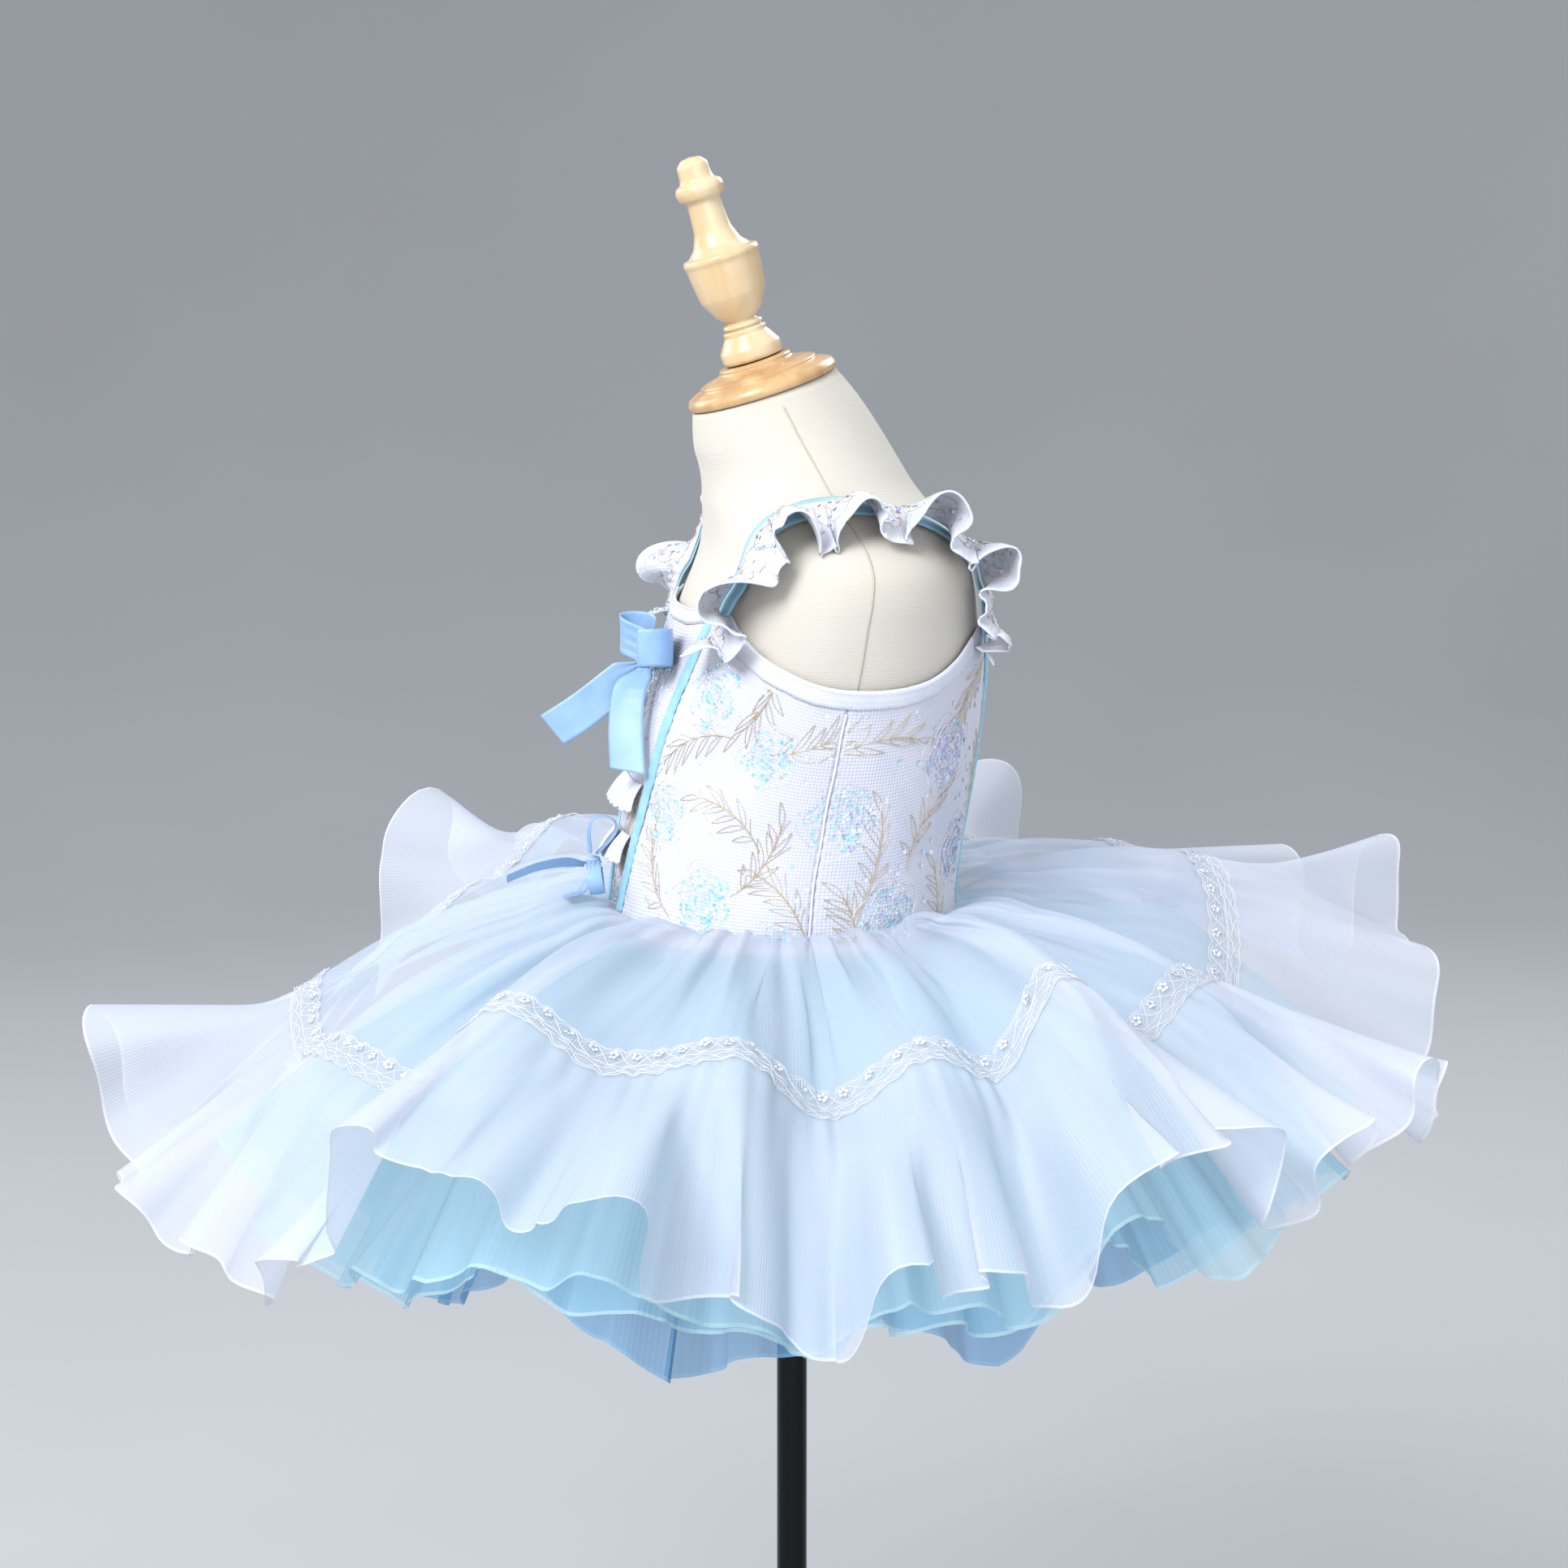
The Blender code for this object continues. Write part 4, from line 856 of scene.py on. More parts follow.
BANDS = table(
    "Band", "node start end width columns",
    ("armhole_binding_left", *ARMHOLE, BINDING_WIDTH, 160),
    ("armhole_binding_right", 360 - ARMHOLE[1], 360 - ARMHOLE[0], BINDING_WIDTH, 160),
    ("neck_binding_front", -FRONT_NECK, FRONT_NECK, NECK_BINDING_WIDTH, 120),
    ("neck_binding_back", BACK_NECK, 360 - BACK_NECK, NECK_BINDING_WIDTH, 100),
)


def make_bindings(looks):
    """Elastics with a softly raised middle and two rows of stitches."""
    stitches = []
    across = linspace(0, 1, 13)[None, :]
    crown = 0.001 * clip(1 - (2 * across - 1) ** 4, 0, 1)
    for band in BANDS:
        azimuth = linspace(band.start, band.end, band.columns)
        edge = top_edge(azimuth)
        wave = 0.00012 * sin(radians(azimuth) * 55) + 0.00012 * sin(radians(azimuth) * 23)
        high = edge + BINDING_PROUD
        low = high - band.width + wave
        height = low[:, None] + (high - low)[:, None] * across
        grid = torso(azimuth[:, None], height, ON_PANEL - 0.0002 + crown)
        name, cloths = f"{band.node}_elastic", [looks["elastic"]]
        sewn(name, band.node, "white_elastic", grid, cloths, PANEL_WALL)
        at = band.start + linspace(0, 1, band.columns * 3) * (band.end - band.start)
        for along in (0.14, 0.86):
            level = np.interp(at, azimuth, edge + BINDING_PROUD - band.width * (1 - along))
            stitches += stitched(torso(at, level, ON_PANEL + 0.0011))
    settle(tubes("binding_stitches", stitches, 0.00016, looks["white_thread"]), "white_elastic")


TRIMS = table(
    "Trim", "node seam top flip",
    ("front_trim_left", front_seam, 0.1585, [1, 1, 1]),
    ("front_trim_right", front_seam, 0.1585, [-1, 1, 1]),
    ("back_trim_left", back_seam, 0.1465, [1, 1, 1]),
    ("back_trim_right", back_seam, 0.1465, [-1, 1, 1]),
)


def make_trims(looks):
    stitches = []
    across = linspace(-1, 1, 13)[None, :]
    for trim in TRIMS:
        height = linspace(SKIRT_SEAM, trim.top, 120)[:, None]
        uneven = 0.00025 * sin(height * 260) + 0.0002 * sin(height * 610 + 1)
        half = degrees((TRIM_WIDTH / 2 + uneven) / form_at(height)[0])
        crown = 0.001 * clip(1 - across**4, 0, 1) + 0.0001 * sin(height * 900) * (1 - across**2)
        grid = torso(trim.seam(height) + half * across, height, ON_PANEL - 0.0001 + crown)
        # A mirrored sheet's rows run the other way, so that its face stays outside.
        grid = (grid if trim.flip[0] < 0 else grid[:, ::-1]) * trim.flip
        name, cloths = f"{trim.node}_ribbon", [looks["trim"]]
        sewn(name, trim.node, "blue_trim", grid, cloths, RIBBON_WALL)
        fine = linspace(SKIRT_SEAM + 0.001, trim.top - 0.001, 300)
        for side in (-0.72, 0.72):
            turn = trim.seam(fine) + side * degrees(TRIM_WIDTH / 2 / form_at(fine)[0])
            stitches += stitched(torso(turn, fine, ON_PANEL + 0.0006) * trim.flip)
    settle(tubes("trim_stitches", stitches, 0.00014, looks["trim"]), "blue_trim")


# The bodice's sequins and embroidery
ROSES = table(
    "Rose", "azimuth height radius lilac",
    (52, 0.02, 0.0185, 0.05), (66, 0.093, 0.015, 0.15), (40, 0.122, 0.017, 0.1), (92, 0.062, 0.018, 0.1),
    (112, 0.012, 0.018, 0.25), (128, 0.092, 0.018, 0.75), (146, 0.04, 0.017, 0.6),
    (30, 0.06, 0.015, 0.1), (80, -0.006, 0.015, 0.15), (0, 0.122, 0.0165, 0.2), (4, 0.01, 0.015, 0.1),
    (180, 0.118, 0.018, 0.6), (184, 0.045, 0.018, 0.4), (214, 0.02, 0.018, 0.5),
    (228, 0.096, 0.018, 0.7), (250, 0.04, 0.018, 0.25), (270, 0.095, 0.0165, 0.15),
    (282, 0.018, 0.018, 0.1), (304, 0.07, 0.018, 0.1), (322, 0.122, 0.0165, 0.15),
    (326, 0.024, 0.0165, 0.1),
)
SPRIGS = table(
    "Sprig", "azimuth height direction length bend",
    (38, 0.098, 200, 0.04, 35), (30, 0.03, 115, 0.04, -40), (58, 0.062, 150, 0.04, 35),
    (60, 0.122, 250, 0.03, -35), (78, 0.1, 20, 0.036, 30), (70, 0.04, 60, 0.034, 35),
    (80, 0.02, 130, 0.034, 30), (97, 0.1, 10, 0.042, -30), (104, 0.04, 85, 0.042, 30),
    (122, 0.055, 60, 0.036, -35), (99, 0.006, 100, 0.03, 35), (136, 0.01, 100, 0.038, 30),
    (140, 0.125, 220, 0.036, 30), (156, 0.075, 100, 0.04, -30), (-8, 0.085, 70, 0.036, 30),
    (8, 0.05, 250, 0.036, 30), (172, 0.08, 60, 0.04, 35), (192, 0.01, 110, 0.04, -30),
    (196, 0.095, 80, 0.04, 35), (212, 0.062, 120, 0.04, -35), (232, 0.05, 70, 0.04, 30),
    (236, 0.01, 120, 0.036, 35), (250, 0.09, 60, 0.034, -30), (266, 0.06, 110, 0.04, 30),
    (264, 0.01, 80, 0.034, 35), (288, 0.062, 130, 0.038, -30), (300, 0.03, 50, 0.038, 30),
    (306, 0.11, 60, 0.038, -35), (320, 0.075, 110, 0.034, 30), (340, 0.06, 90, 0.034, 30),
)


def around_place(place, points):
    """Azimuths and heights of points given in metres along and up from a place on the bodice."""
    return place.azimuth + degrees(points[:, 0] / BODICE_RADIUS), place.height + points[:, 1]


def clear_of_edges(turn, level):
    """Which places lie clear of the bindings, the trims and the side seams."""
    on_left = to_one_side(turn)
    below_edge = level < top_edge(turn) - BINDING_WIDTH - 0.0005
    margin = degrees((TRIM_WIDTH / 2 + 0.0012) / 0.095)
    off_trims = (np.abs(on_left - stack([front_seam(level), back_seam(level)])) > margin).all(axis=0)
    return (level > 0.0005) & below_edge & off_trims & (np.abs(on_left - SIDE_SEAM) > 0.9)


def petals(rose):
    """Sequins in wavy rings, with gaps between the petals, around a small heart."""
    found = [(0.0, 0.0)]
    phase = rng.uniform(0, 2 * pi)
    radius = 0.0024
    ring = 1
    while radius < rose.radius:
        count = int(2 * pi * radius / 0.0021)
        turn = linspace(0, 2 * pi, count, endpoint=False) + ring * 0.7 + phase
        lobe = cos((3 + ring // 2) * turn + 1.3 * ring + phase)
        keep = lobe > (-2.0 if ring < 3 else -0.82)
        if radius > rose.radius - 0.004:
            keep &= lobe > -0.2
        reach = radius * (1 + 0.07 * lobe)
        found += [(r * math.cos(t), r * math.sin(t)) for r, t, k in zip(reach, turn, keep) if k]
        radius += 0.0023 if ring % 2 else 0.0031
        ring += 1
    return array(found)


def leaflet(start, angle, length):
    """Both sides of a long open leaf's outline."""
    t = linspace(0, 1, 12)
    half = 0.0017 * sin(pi * t) ** 0.8 * (1 - 0.35 * t)
    x = length * t
    lines = []
    for side in (1, -1):
        y = side * half + 0.22 * length * t**2
        across = start[0] + x * math.cos(angle) - y * math.sin(angle)
        upward = start[1] + x * math.sin(angle) + y * math.cos(angle)
        lines.append(stack([across, upward], axis=1))
    return lines


def sprig_lines(sprig):
    """The outline of a feathery spray: a bent stem with pairs of long open leaflets."""
    count = 26
    t = linspace(0, 1, count)
    length = sprig.length * 1.25
    heading = math.radians(sprig.direction) + math.radians(sprig.bend) * 1.6 * (t - 0.5)
    steps = stack([cos(heading), sin(heading)], axis=1) * length / (count - 1)
    stem = concatenate([[[0, 0]], np.cumsum(steps, axis=0)])[:-1]
    stem -= stem.mean(axis=0)
    lines = [stem, stem + [0.0003, 0.0002]]
    for number, place in enumerate(range(4, 24, 4)):
        size = 0.0165 * (0.6 + 0.4 * math.sin(pi * place / 26))
        for side in (1, -1):
            angle = heading[place] + side * math.radians(44 - 0.9 * place + 6 * rng.uniform(-1, 1))
            both = leaflet(stem[place], angle, size * rng.uniform(0.8, 1.1))
            lines += both if number % 2 or side > 0 else both[:1]
    return lines + leaflet(stem[-1], heading[-1], 0.013)


def traced(place, points, out):
    """The stretches of an outline that are clear of the bodice's edges, each at least three points long."""
    turn, level = around_place(place, points)
    keep = clear_of_edges(turn, level)
    ends = np.flatnonzero(np.diff(keep)) + 1
    parts = zip(np.split(torso(turn, level, out), ends), np.split(keep, ends))
    return [part for part, kept in parts if kept[0] and len(part) >= 3]


def make_embroidery(looks):
    out = BODICE_FACE + 0.0005
    found = []
    for rose in ROSES:
        turn, level = around_place(rose, petals(rose))
        keep = clear_of_edges(turn, level)
        turn, level = turn[keep], level[keep]
        radii = rng.uniform(0.00085, 0.0011, len(turn))
        pick = rng.uniform(0, 1, len(turn))
        kind = where(pick < rose.lilac + (1 - rose.lilac) * 0.62, AQUA, ICE)
        kind = where(pick < rose.lilac, LILAC, kind)
        found.append((turn, level, radii, where(rng.uniform(0, 1, len(turn)) < 0.1, CLEAR, kind)))
    scattered = 420
    turn = rng.uniform(0, 360, scattered)
    level = rng.uniform(0.001, 0.15, scattered)
    keep = clear_of_edges(turn, level)
    radii = rng.uniform(0.0009, 0.0014, keep.sum())
    kinds = where(rng.uniform(0, 1, keep.sum()) < 0.6, CLEAR, ICE)
    found.append((turn[keep], level[keep], radii, kinds))
    turn, level, radii, kinds = (concatenate(column) for column in zip(*found))
    point = torso(turn, level, out)
    facing = unit(torso(turn, level, out + 0.001) - point)
    piece = discs("bodice_sequins", point, facing, radii, kinds, [looks[key] for key in SEQUINS])
    settle(piece, "sequin_lace").visible_shadow = False
    gold = []
    for sprig in SPRIGS:
        for line in sprig_lines(sprig):
            gold += traced(sprig, line, BODICE_FACE + 0.0003)
    settle(tubes("bodice_gold_thread", gold, 0.00016, looks["gold_thread"]), "sequin_lace")
    white = []
    t = linspace(0, 2 * pi, 60)
    for rose in ROSES:
        for ring in (0.55, 0.82, 1.08):
            reach = rose.radius * ring * (1 + 0.1 * cos(5 * t + ring * 3))
            points = stack([reach * cos(t), reach * sin(t)], axis=1)
            white += traced(rose, points, BODICE_FACE + 0.00035)
    thread = tubes("bodice_white_thread", white, 0.00022, looks["white_thread"])
    settle(thread, "sequin_lace").visible_shadow = False
    side = linspace(0.004, 0.1165, 150)
    wander = 0.12 * sin(side * 160)
    seams = [torso(azimuth + wander, side, BODICE_FACE) for azimuth in (SIDE_SEAM, 360 - SIDE_SEAM)]
    settle(tubes("bodice_side_seams", seams, 0.0007, looks["white_thread"], 8), "sequin_lace")


# The straps and their frills
def make_straps(looks):
    share = linspace(0, 1, 120)[:, None]
    across = linspace(-0.5, 0.5, 9)[None, :]
    x = strap_middle(share) + across * STRAP_WIDTH
    point, normal = over_shoulder(x, across_shoulder(share, x, *STRAP_ENDS))
    crown = 0.0006 * (1 - (2 * across) ** 4)[..., None]
    left = point + normal * (strap_lift(point[..., 2:]) + CLOTH * 0.6 + crown)
    for side, grid in (("left", left[:, ::-1]), ("right", left * [-1, 1, 1])):
        name, node = f"strap_{side}_ribbon", f"strap_{side}"
        sewn(name, node, "blue_trim", grid, [looks["trim"]], RIBBON_WALL)


FINE_ROWS = 21
FINE_COLUMNS = 340


def fine_frill():
    rows = linspace(0, 1, FINE_ROWS)
    grid = frill_grid(FINE_COLUMNS, rows)
    share = linspace(0, 1, FINE_COLUMNS)[:, None]
    reach = rows[None, :]
    gather = 0.0007 * sin(2 * pi * 58 * share + 2 * sin(17 * share))
    gather = gather * exp(-reach * 2.5) * eased(reach * 8)
    fold = 0.0021 * (1.1 + sin(2 * pi * 13 * share + 1.8 * sin(11 * share))) * reach
    curl = 0.0012 * sin(2 * pi * 27 * share + 2 + sin(23 * share)) * reach**2
    path = unit(gradient(grid, axis=0))
    slide = 0.0042 * sin(2 * pi * 11 * share + sin(7 * share)) * reach**1.4
    return grid + surface_normals(grid, False) * (gather + fold + curl)[..., None] + path * slide[..., None]


def make_frills(looks):
    grid = fine_frill()
    normals = surface_normals(grid, False)
    cloths, slots = [looks["frill_net"], looks["elastic"]], [0] * (FINE_ROWS - 2) + [1]
    sprigs, spangles = 26, 330
    t = linspace(0, 1, 16)
    down = (3 + t * (FINE_ROWS - 9)).astype(int)
    for side, flip in (("left", [1, 1, 1]), ("right", [-1, 1, 1])):
        node, ribbon = f"strap_frill_{side}", f"strap_{side}_ribbon"
        sewn(
            f"{node}_net", node, "sequin_lace", grid * flip, cloths,
            NET_WALL, slots,
        )
        edge = tubes(f"{node}_rolled_edge", [grid[:, -1] * flip], 0.0006, looks["elastic"], 8)
        settle(edge, "white_elastic")
        i = rng.integers(4, FINE_COLUMNS - 4, spangles)
        j = rng.integers(3, FINE_ROWS - 5, spangles)
        face = where(rng.uniform(0, 1, spangles) < 0.5, 1, -1)[:, None]
        spots = grid[i, j] + normals[i, j] * face * 0.0006
        kinds = where(rng.uniform(0, 1, spangles) < 0.45, LILAC, rng.integers(0, 4, spangles))
        facing = normals[i, j] * face * flip
        radii = rng.uniform(0.001, 0.0014, spangles)
        materials = [looks[key] for key in SEQUINS]
        settle(discs(f"{node}_sequins", spots * flip, facing, radii, kinds, materials), "sequin_lace")
        gold = []
        for k in range(sprigs):
            middle = int((k + 0.5) * FINE_COLUMNS / sprigs)
            for lean in (-1, 1):
                along = middle + lean * 9 * sin(pi * t) ** 0.8 + 5 * t
                along = clip(along, 0, FINE_COLUMNS - 1).astype(int)
                line, out = grid[along, down], normals[along, down] * 0.0004
                gold += [(line - out) * flip, (line + out) * flip]
        settle(tubes(f"{node}_gold_thread", gold, 0.00015, looks["gold_thread"]), "sequin_lace")


# Lace across the front
def make_front_lace(looks):
    share = linspace(-1, 1, 220)[:, None]
    drop = linspace(1, 0, 16)[None, :]
    wave = 0.5 + 0.5 * cos(5 * pi * share + 0.5 * sin(4 * share))
    ruck = 0.0005 * sin(42 * share) * (1 - 0.5 * drop)
    out = ON_PANEL + 0.0006 + drop * (0.003 + 0.005 * wave) + ruck + 0.0011 * sin(pi * drop)
    scallop = 0.001 * np.abs(sin(11 * pi * share)) * drop
    for row in FRONT_LACE:
        grid = torso(share * row.half_angle, row.height - FRONT_LACE_DROP * drop - scallop, out)
        sewn(
            f"{row.name}_band", row.name, "white_lace", grid, [looks["lace"]],
            NET_WALL,
        )


# The bows
def fine_ribbon(bow, end, path, across, width, satin, pinch=1.0, cup=0.0, cut=0.0):
    """A loop or tail, narrower by pinch at its start, cupped across its width and cut at a slant."""
    across = unit(asarray(across, float) + 0 * path)
    at = linspace(0, 1, len(path))
    opened = pinch + (1 - pinch) * eased(at / 0.25)
    spread = linspace(-0.5, 0.5, 13)
    along = unit(gradient(path, axis=0))
    face = unit(np.cross(along, across))
    bend = cup * (1 - (2 * spread) ** 2)[None, :, None] * (0.4 + 0.6 * sin(pi * at))[:, None, None]
    grid = path[:, None, :] + across[:, None, :] * (spread[None, :, None] * width * opened[:, None, None])
    fold = (1 - eased(at / 0.3))[:, None, None] * 0.0006 * cos(spread * 22)[None, :, None]
    grid = grid + face[:, None, :] * (bend + fold)
    slant = along[-1] * width * cut
    grid[-6:] += (spread[None, :, None] * slant) * linspace(0, 1, 6)[:, None, None]
    name, node = f"{bow}_bow_{end}", f"bow_{bow}_{end}"
    sewn(name, node, "blue_satin", grid, [satin], SATIN_WALL)


def fine_knot(bow, centre, size, satin):
    turn = radians(all_round(64))[:, None]
    level = linspace(-1, 1, 40)[None, :]
    girth = np.sqrt(clip(1 - 0.86 * level**4 * np.abs(level), 0.02, 1)) * (1 - 0.1 * np.abs(level))
    reach = girth * (1 + 0.035 * sin(9 * level + 2 * turn) + 0.025 * sin(17 * level - turn))
    ring = stack([sin(turn) * reach, -cos(turn) * reach, level + 0 * turn], axis=-1)
    piece = grid_mesh(f"{bow}_bow_knot", capped(centre + ring * size / 2), True, [satin])
    settle(piece, "blue_satin", f"bow_{bow}_knot")


def make_bows(looks):
    satin = looks["satin"]
    fine_knot("top", BOW_TOP, TOP_KNOT, satin)
    for side, sign in (("left", 1), ("right", -1)):
        start = BOW_TOP + [sign * (TOP_KNOT[0] / 2 + CLEARANCE), 0.0005, 0.0005]
        loop = bow_loop(start, (sign, -0.1, 0.16), (0, -1, 0), 0.034, 0.008, 90)
        fine_ribbon("top", f"loop_{side}", loop, (0, 0, 1), WIDE_RIBBON, satin, 1.0, 0.0004)
    for end, start, across, ways, corners in TOP_TAILS:
        fine_ribbon("top", end, smooth_path(start + corners, 70), across, WIDE_RIBBON, satin, *ways)
    fine_knot("waist", BOW_WAIST, WAIST_KNOT, satin)
    for end, start, outward, up, length, height, across, width in WAIST_LOOPS:
        loop = bow_loop(start, outward, up, length, height, 80)
        fine_ribbon("waist", end, loop, across, width, satin, 1.0, 0.0003)
    for end, start, across, ways, corners in WAIST_TAILS:
        fine_ribbon("waist", end, smooth_path(start + corners, 60), across, NARROW_RIBBON, satin, *ways)


# The skirt
ROUND = 1080
NET_ROUND = 720
OVERSKIRT_ROWS = 40
FLOUNCE_ROWS = 42
NET_ROWS = 34
NET_GAP = 0.0036
PUCKERS = 41


def wrinkles(azimuth, *terms):
    """A sum of waves round the skirt. Each term is waves, height and phase, and drifts a little in phase."""
    turn = radians(azimuth)[:, None]
    total = 0 * turn
    for waves, height, phase in terms:
        drift = 0.9 * sin(3 * turn + phase) + 0.6 * sin(7 * turn + 2 * phase)
        total = total + height * sin(waves * turn + phase + drift)
    return total


def moved(grid, out, around=None):
    """A sheet with its points moved along its normals, and round the skirt."""
    result = grid + surface_normals(grid, True) * out[..., None]
    if around is not None:
        tangent = unit(round_the_ring(grid))
        tangent[..., 2] = 0
        result = result + unit(tangent) * around[..., None]
    return result


def skirt_sheet(node, grid, cloths, slot):
    """A layer of the skirt. Where a second cloth is given, its last row of cells is of that."""
    rows = grid.shape[1] - 1
    slots = [0] * (rows - 1) + [len(cloths) - 1]
    piece = sewn(f"{node}_cloth", node, slot, grid, cloths, row_slots=slots)
    # The stiff nets let the studio's light through to each other, and render sooner for it; the shade they
    # would cast is painted into the middle and lower nets' colours.
    piece.visible_shadow = not node.startswith("net")


def pleat(phase, sharp=0.97):
    """A wave with flat sides and narrow creases, from -1 to 1."""
    return (2 / pi) * arcsin(sharp * sin(phase))


def hem_shares(count, last):
    """Even shares down a sheet, with one narrow row at its hem."""
    return np.append(linspace(0, 1, count, endpoint=False), [1 - last, 1.0])


def below(lower, upper, gap):
    """The lower sheet with its points moved down where they come closer than a gap under the upper sheet."""
    result = lower.copy()
    for k, (line, cover) in enumerate(zip(lower, upper)):
        run, reach = np.hypot(line[:, 0], line[:, 1]), np.hypot(cover[:, 0], cover[:, 1])
        order = np.argsort(reach)
        level = np.interp(run, reach[order], cover[order, 2], right=9)
        fade = eased(linspace(0, 1, len(line)) / 0.08)
        result[k, :, 2] -= clip(line[:, 2] - (level - gap), 0, None) * fade
    return result


def fine_overskirt(azimuth):
    turn = radians(azimuth)[:, None]
    shares = linspace(0, 1, OVERSKIRT_ROWS)
    share = shares[None, :]
    grid = overskirt_grid(azimuth, shares)
    phase = PUCKERS * turn + 1.1 * sin(3 * turn + 0.5) + 0.8 * sin(8 * turn + 1) + 0.5 * sin(13 * turn)
    strength = 0.6 + 0.4 * sin(5 * turn + 1.0) * sin(9 * turn)
    body = sin(pi * clip((share - 0.02) / 0.98, 0, 1)) ** 0.7
    radius = np.linalg.norm(grid[..., :2], axis=2)
    around = 0.85 * strength * sin(2 * phase) * radius / (2 * PUCKERS) * body
    small = wrinkles(azimuth, (97, 0.0007, 1.9), (131, 0.0005, 3.1)) * exp(-share * 3) * eased(share * 12)
    drift = 1.6 * sin(3 * turn + 1) + 0.9 * sin(7 * turn)
    large = (0.0042 * pleat(19 * turn + drift) + 0.0028 * pleat(29 * turn - drift + 2)) * body
    puckers = 0.0034 * strength * pleat(phase + pi / 2, 0.9) * body
    return moved(grid, puckers + small + large, around)


def fine_flounce(azimuth):
    turn = radians(azimuth)[:, None]
    shares = hem_shares(FLOUNCE_ROWS, 0.0125)
    share = shares[None, :]
    grid = flounce_grid(azimuth, shares)
    _, place, half = fold_place(FLOUNCE_FOLDS, azimuth)
    crests, curls = columns_of(FLOUNCE_FOLDS, "azimuth", "curl")
    middles = crests + np.append(np.diff(crests), crests[0] + 360 - crests[-1]) / 2
    curl = np.interp(azimuth, middles, curls, period=360)
    radius = np.linalg.norm(grid[..., :2], axis=2)
    loop = (curl * radians(half) * sin(4 * pi * place))[:, None] * radius / pi
    around = 0.95 * loop * eased(share / 1.1) ** 1.2
    rays = wrinkles(azimuth, (118, 0.0012, 0.3), (163, 0.0009, 1.4)) * exp(-share * 5) * eased(share * 10)
    drift = 1.4 * sin(3 * turn + 2) + 0.8 * sin(8 * turn)
    creases = 0.006 * pleat(31 * turn + drift) + 0.004 * pleat(47 * turn - 2 * drift)
    creases = (creases + 0.002 * pleat(71 * turn + drift)) * (1 + 0.4 * sin(5 * turn + 2)) * share**0.9
    return moved(grid, rays + creases, around)


def fine_net(net, azimuth, cover):
    turn = radians(azimuth)[:, None]
    shares = hem_shares(NET_ROWS, 1 / 120)
    share = shares[None, :]
    drift = 0.8 * sin(4 * turn + net.phase) + 0.6 * sin(7 * turn + 2)
    fold = 0.007 * pleat(2 * NET_PLEATS * turn + drift)
    fold = fold + 0.0045 * pleat((3 * net.waves + 4) * turn + 2 * drift)
    fine = wrinkles(azimuth, (83, 0.0006, net.phase), (111, 0.0004, 1 + net.phase))
    grid = moved(net_grid(net, azimuth, shares), fold * share**1.3 + fine * eased(share * 3))
    return below(grid, cover, NET_GAP)


def make_skirt(looks):
    azimuth = all_round(ROUND)
    over, flounce = fine_overskirt(azimuth), fine_flounce(azimuth)
    skirt_sheet("overskirt", over, [looks["organza"]], "white_organza")
    cloths = [looks["organza_flounce"], looks["organza_hem"]]
    skirt_sheet("flounce", flounce, cloths, "white_organza")
    make_flounce_lace(over, flounce, looks)
    azimuth = all_round(NET_ROUND)
    cover = overskirt_grid(azimuth, linspace(0, 1, OVERSKIRT_ROWS))
    for net in NETS:
        cover = fine_net(net, azimuth, cover)
        skirt_sheet(net.name, cover, [looks[net.name], looks[net.hem]], net.slot)


EYELETS = 135


def make_flounce_lace(over, flounce, looks):
    inside = unit(over[:, -4] - over[:, -1])
    beyond = unit(flounce[:, 3] - flounce[:, 0])
    seam = (over[:, -1] + flounce[:, 0]) / 2
    turn = radians(all_round(ROUND))
    scallop = np.abs(sin(turn * EYELETS / 2))
    above, beneath = LACE_ABOVE + 0.0018 * scallop, LACE_BELOW + 0.001 * scallop
    rows = [seam + inside * (above * reach)[:, None] for reach in (1, 0.8, 0.6, 0.3, 0)]
    rows += [seam + beyond * (beneath * reach)[:, None] for reach in (0.4, 0.7, 1.0)]
    band = stack(rows, axis=1)
    ruck = 0.0004 * sin(turn * 210)[:, None, None]
    band = band + surface_normals(band, True) * (0.0011 + ruck)
    sewn(
        "flounce_lace_band", "flounce_lace", "white_lace", band, [looks["lace_band"]],
    )
    normal = surface_normals(band, True)
    every = arange(ROUND + 1)
    phase = every * EYELETS / ROUND * pi
    columns = every % ROUND

    def on_band(rows, lift):
        rows = clip(rows, 0, 6.999)
        low = rows.astype(int)
        mix = (rows - low)[:, None]
        here = band[columns, low] * (1 - mix) + band[columns, low + 1] * mix
        return here + normal[columns, low] * lift

    cords = [on_band(0 * phase + row, 0.0004) for row in (0.0, 4.0, 7.0)]
    for middle, swing, lift in ((2.2, 1.7, 0.0005), (5.5, 1.0, 0.0004)):
        cords += [on_band(middle + swing * sign * sin(phase), lift) for sign in (1, -1)]
    cords = tubes("flounce_lace_cords", cords, 0.00022, looks["lace"])
    settle(cords, "white_lace").visible_shadow = False
    spots, faces = [], []
    step = ROUND // EYELETS
    for k in range(step // 2, ROUND, step):
        side = unit(band[(k + 1) % ROUND, 2] - band[k, 2])
        other = unit(band[k, 1] - band[k, 3])
        for t in linspace(0, 2 * pi, 6)[:-1]:
            petal = (side * math.cos(t) + other * math.sin(t)) * 0.0017
            spots.append(band[k, 2] + normal[k, 2] * 0.0008 + petal)
            faces.append(normal[k, 2])
    sizes, kinds = np.full(len(spots), 0.001), np.zeros(len(spots))
    settle(discs("flounce_lace_flowers", spots, faces, sizes, kinds, [looks["lace"]], 6, -0.3), "white_lace")


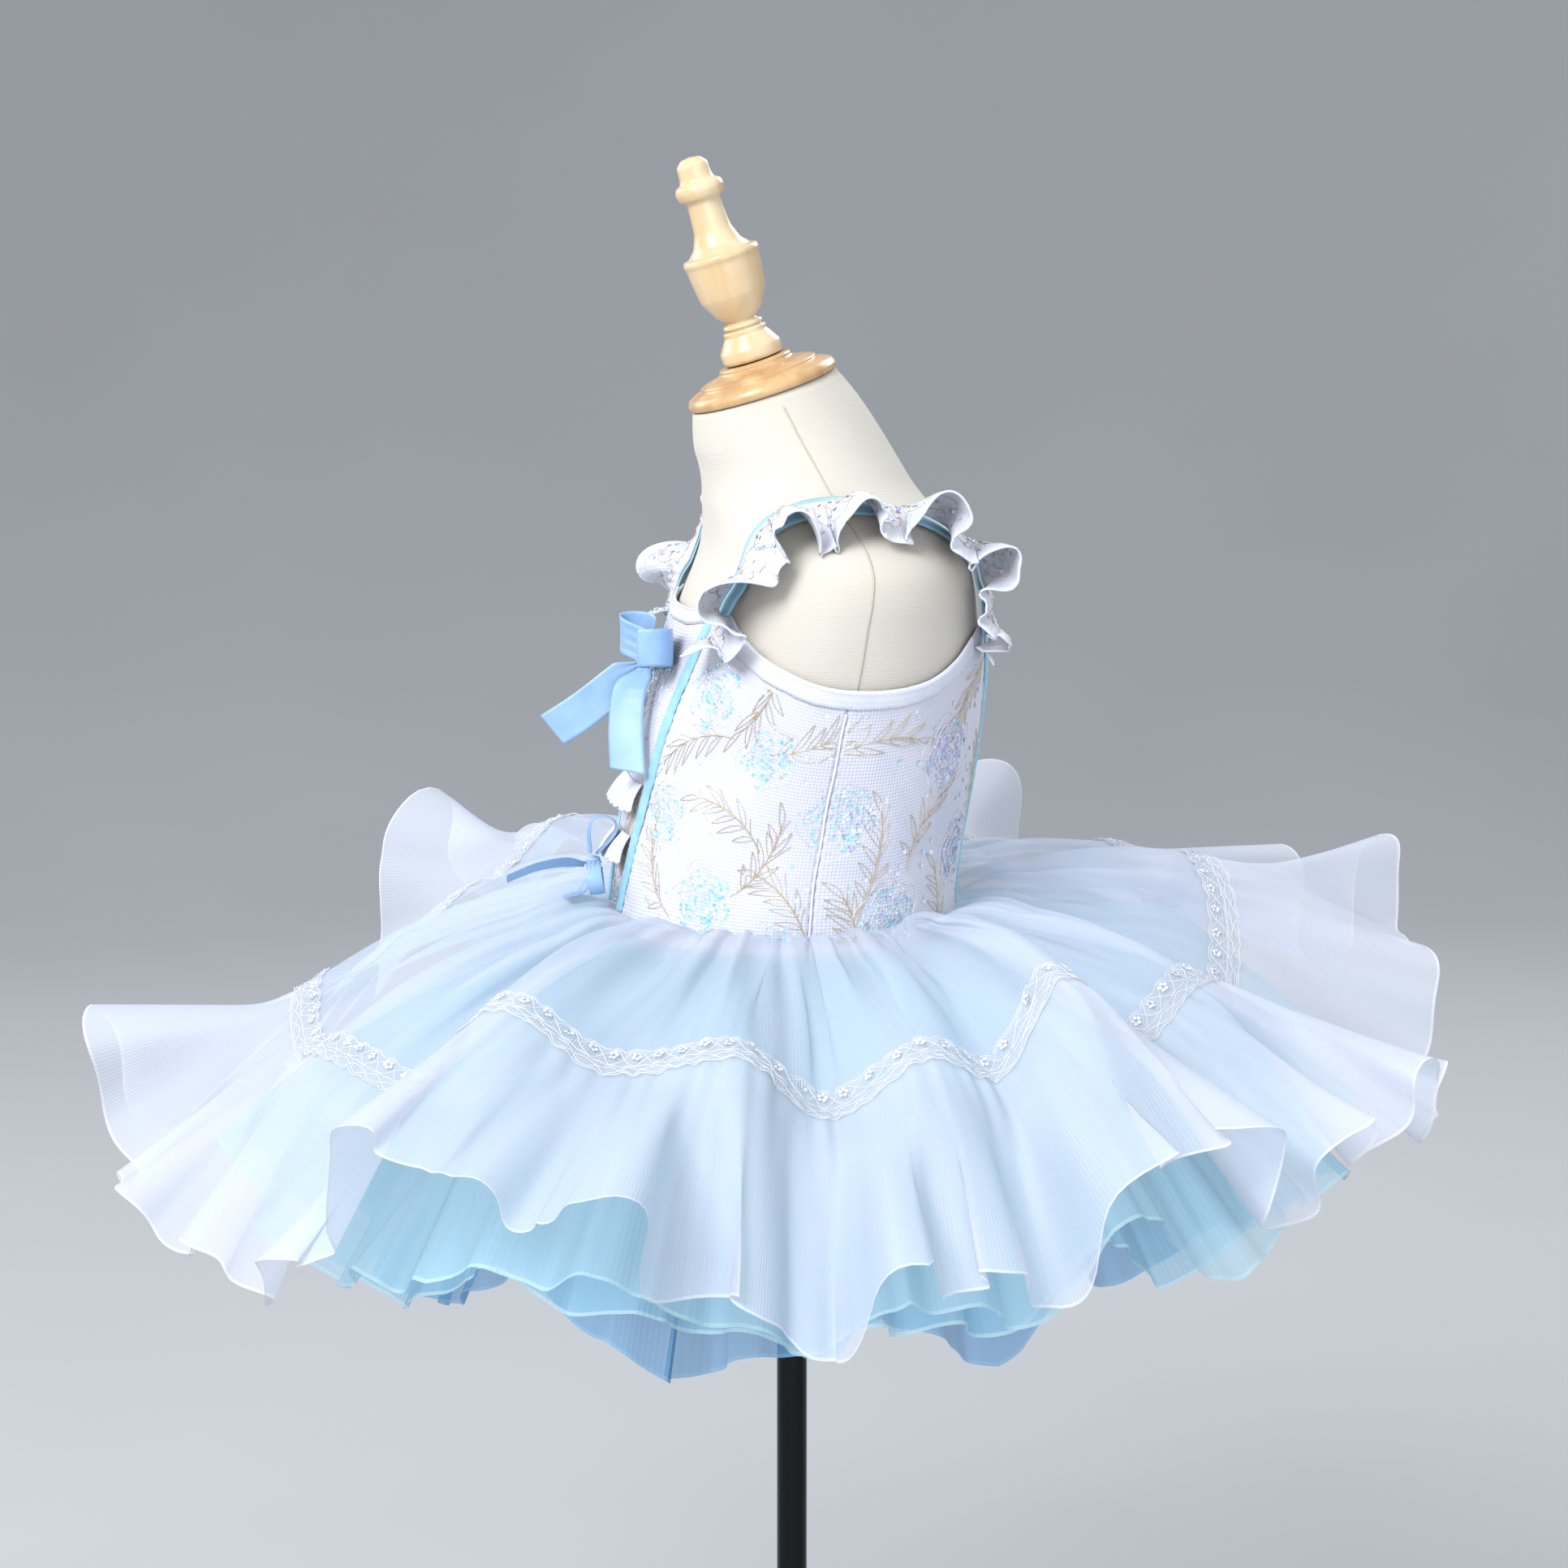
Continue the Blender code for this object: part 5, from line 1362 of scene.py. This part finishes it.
# The stage
def make_stage():
    bend = radians(linspace(0, 90, 24))
    profile = [(0.0, 0.0), (1.2, 0.0), (2.2, 0.0)]
    profile += [(3.0 + 1.6 * math.sin(t), 1.6 - 1.6 * math.cos(t)) for t in bend] + [(4.6, 6.0)]
    look = Look("paper", (0.5, 0.505, 0.52), 0.95)
    look.tint(look.mottled(1.5), (0.48, 0.485, 0.5))
    cove = grid_mesh("paper_cove", turned_grid(*array(profile).T, 128), True, [look.material])
    cove.visible_shadow = False
    cove.visible_diffuse = False

    world = bpy.data.worlds.new("studio")
    bpy.context.scene.world = world
    world.use_nodes = True
    lit = world.node_tree.nodes["Background"]
    lit.inputs["Color"].default_value = (0.87, 0.925, 1.0, 1.0)
    lit.inputs["Strength"].default_value = 0.54

    for lamp in table(
        "Lamp", "name azimuth elevation distance size power colour",
        ("key", 42, 40, 2.6, 1.3, 56, (0.97, 0.982, 1.0)),
        ("front", 98, 8, 2.8, 2.2, 21, (0.95, 0.975, 1.0)),
        ("back_left", 230, 35, 2.8, 1.6, 34, (0.93, 0.965, 1.0)),
        ("back_right", 320, 25, 2.8, 1.6, 28, (0.94, 0.97, 1.0)),
    ):
        light = bpy.data.lights.new(lamp.name, "AREA")
        light.shape = "DISK"
        light.size = lamp.size
        light.energy = lamp.power
        light.color = lamp.colour
        made = bpy.data.objects.new(lamp.name, light)
        bpy.context.scene.collection.objects.link(made)
        made.visible_camera = False
        place_facing(made, (0, 0, WAIST), lamp.azimuth, lamp.elevation, lamp.distance)


def place_facing(made, target, azimuth, elevation, distance):
    turn, rise = math.radians(azimuth), math.radians(elevation)
    back = (math.sin(turn) * math.cos(rise), -math.cos(turn) * math.cos(rise), math.sin(rise))
    back = mathutils.Vector(back)
    made.location = mathutils.Vector(target) + back * distance
    made.rotation_euler = back.to_track_quat("Z", "Y").to_euler()


def make_camera():
    turn = math.radians(CAMERA_AZIMUTH)
    right = mathutils.Vector((math.cos(turn), math.sin(turn), 0))
    target = mathutils.Vector((0, 0, CAMERA_HEIGHT)) - right * CAMERA_ASIDE
    camera = bpy.data.objects.new("camera", bpy.data.cameras.new("camera"))
    bpy.context.scene.collection.objects.link(camera)
    camera.data.angle = math.radians(CAMERA_VIEW)
    place_facing(camera, target, CAMERA_AZIMUTH, CAMERA_ELEVATION, CAMERA_DISTANCE)
    bpy.context.scene.camera = camera


def main():
    scene = bpy.context.scene
    scene.view_settings.view_transform = "Standard"
    scene.cycles.transparent_max_bounces = 12
    scene.cycles.max_bounces = 3
    scene.cycles.diffuse_bounces = 1
    scene.cycles.glossy_bounces = 1
    make_camera()
    looks = make_materials()
    for make in (
        make_stand, make_bodice, make_bindings, make_trims, make_embroidery, make_straps, make_frills,
        make_front_lace, make_bows, make_skirt,
    ):
        make(looks)
    make_stage()


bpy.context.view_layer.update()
main()
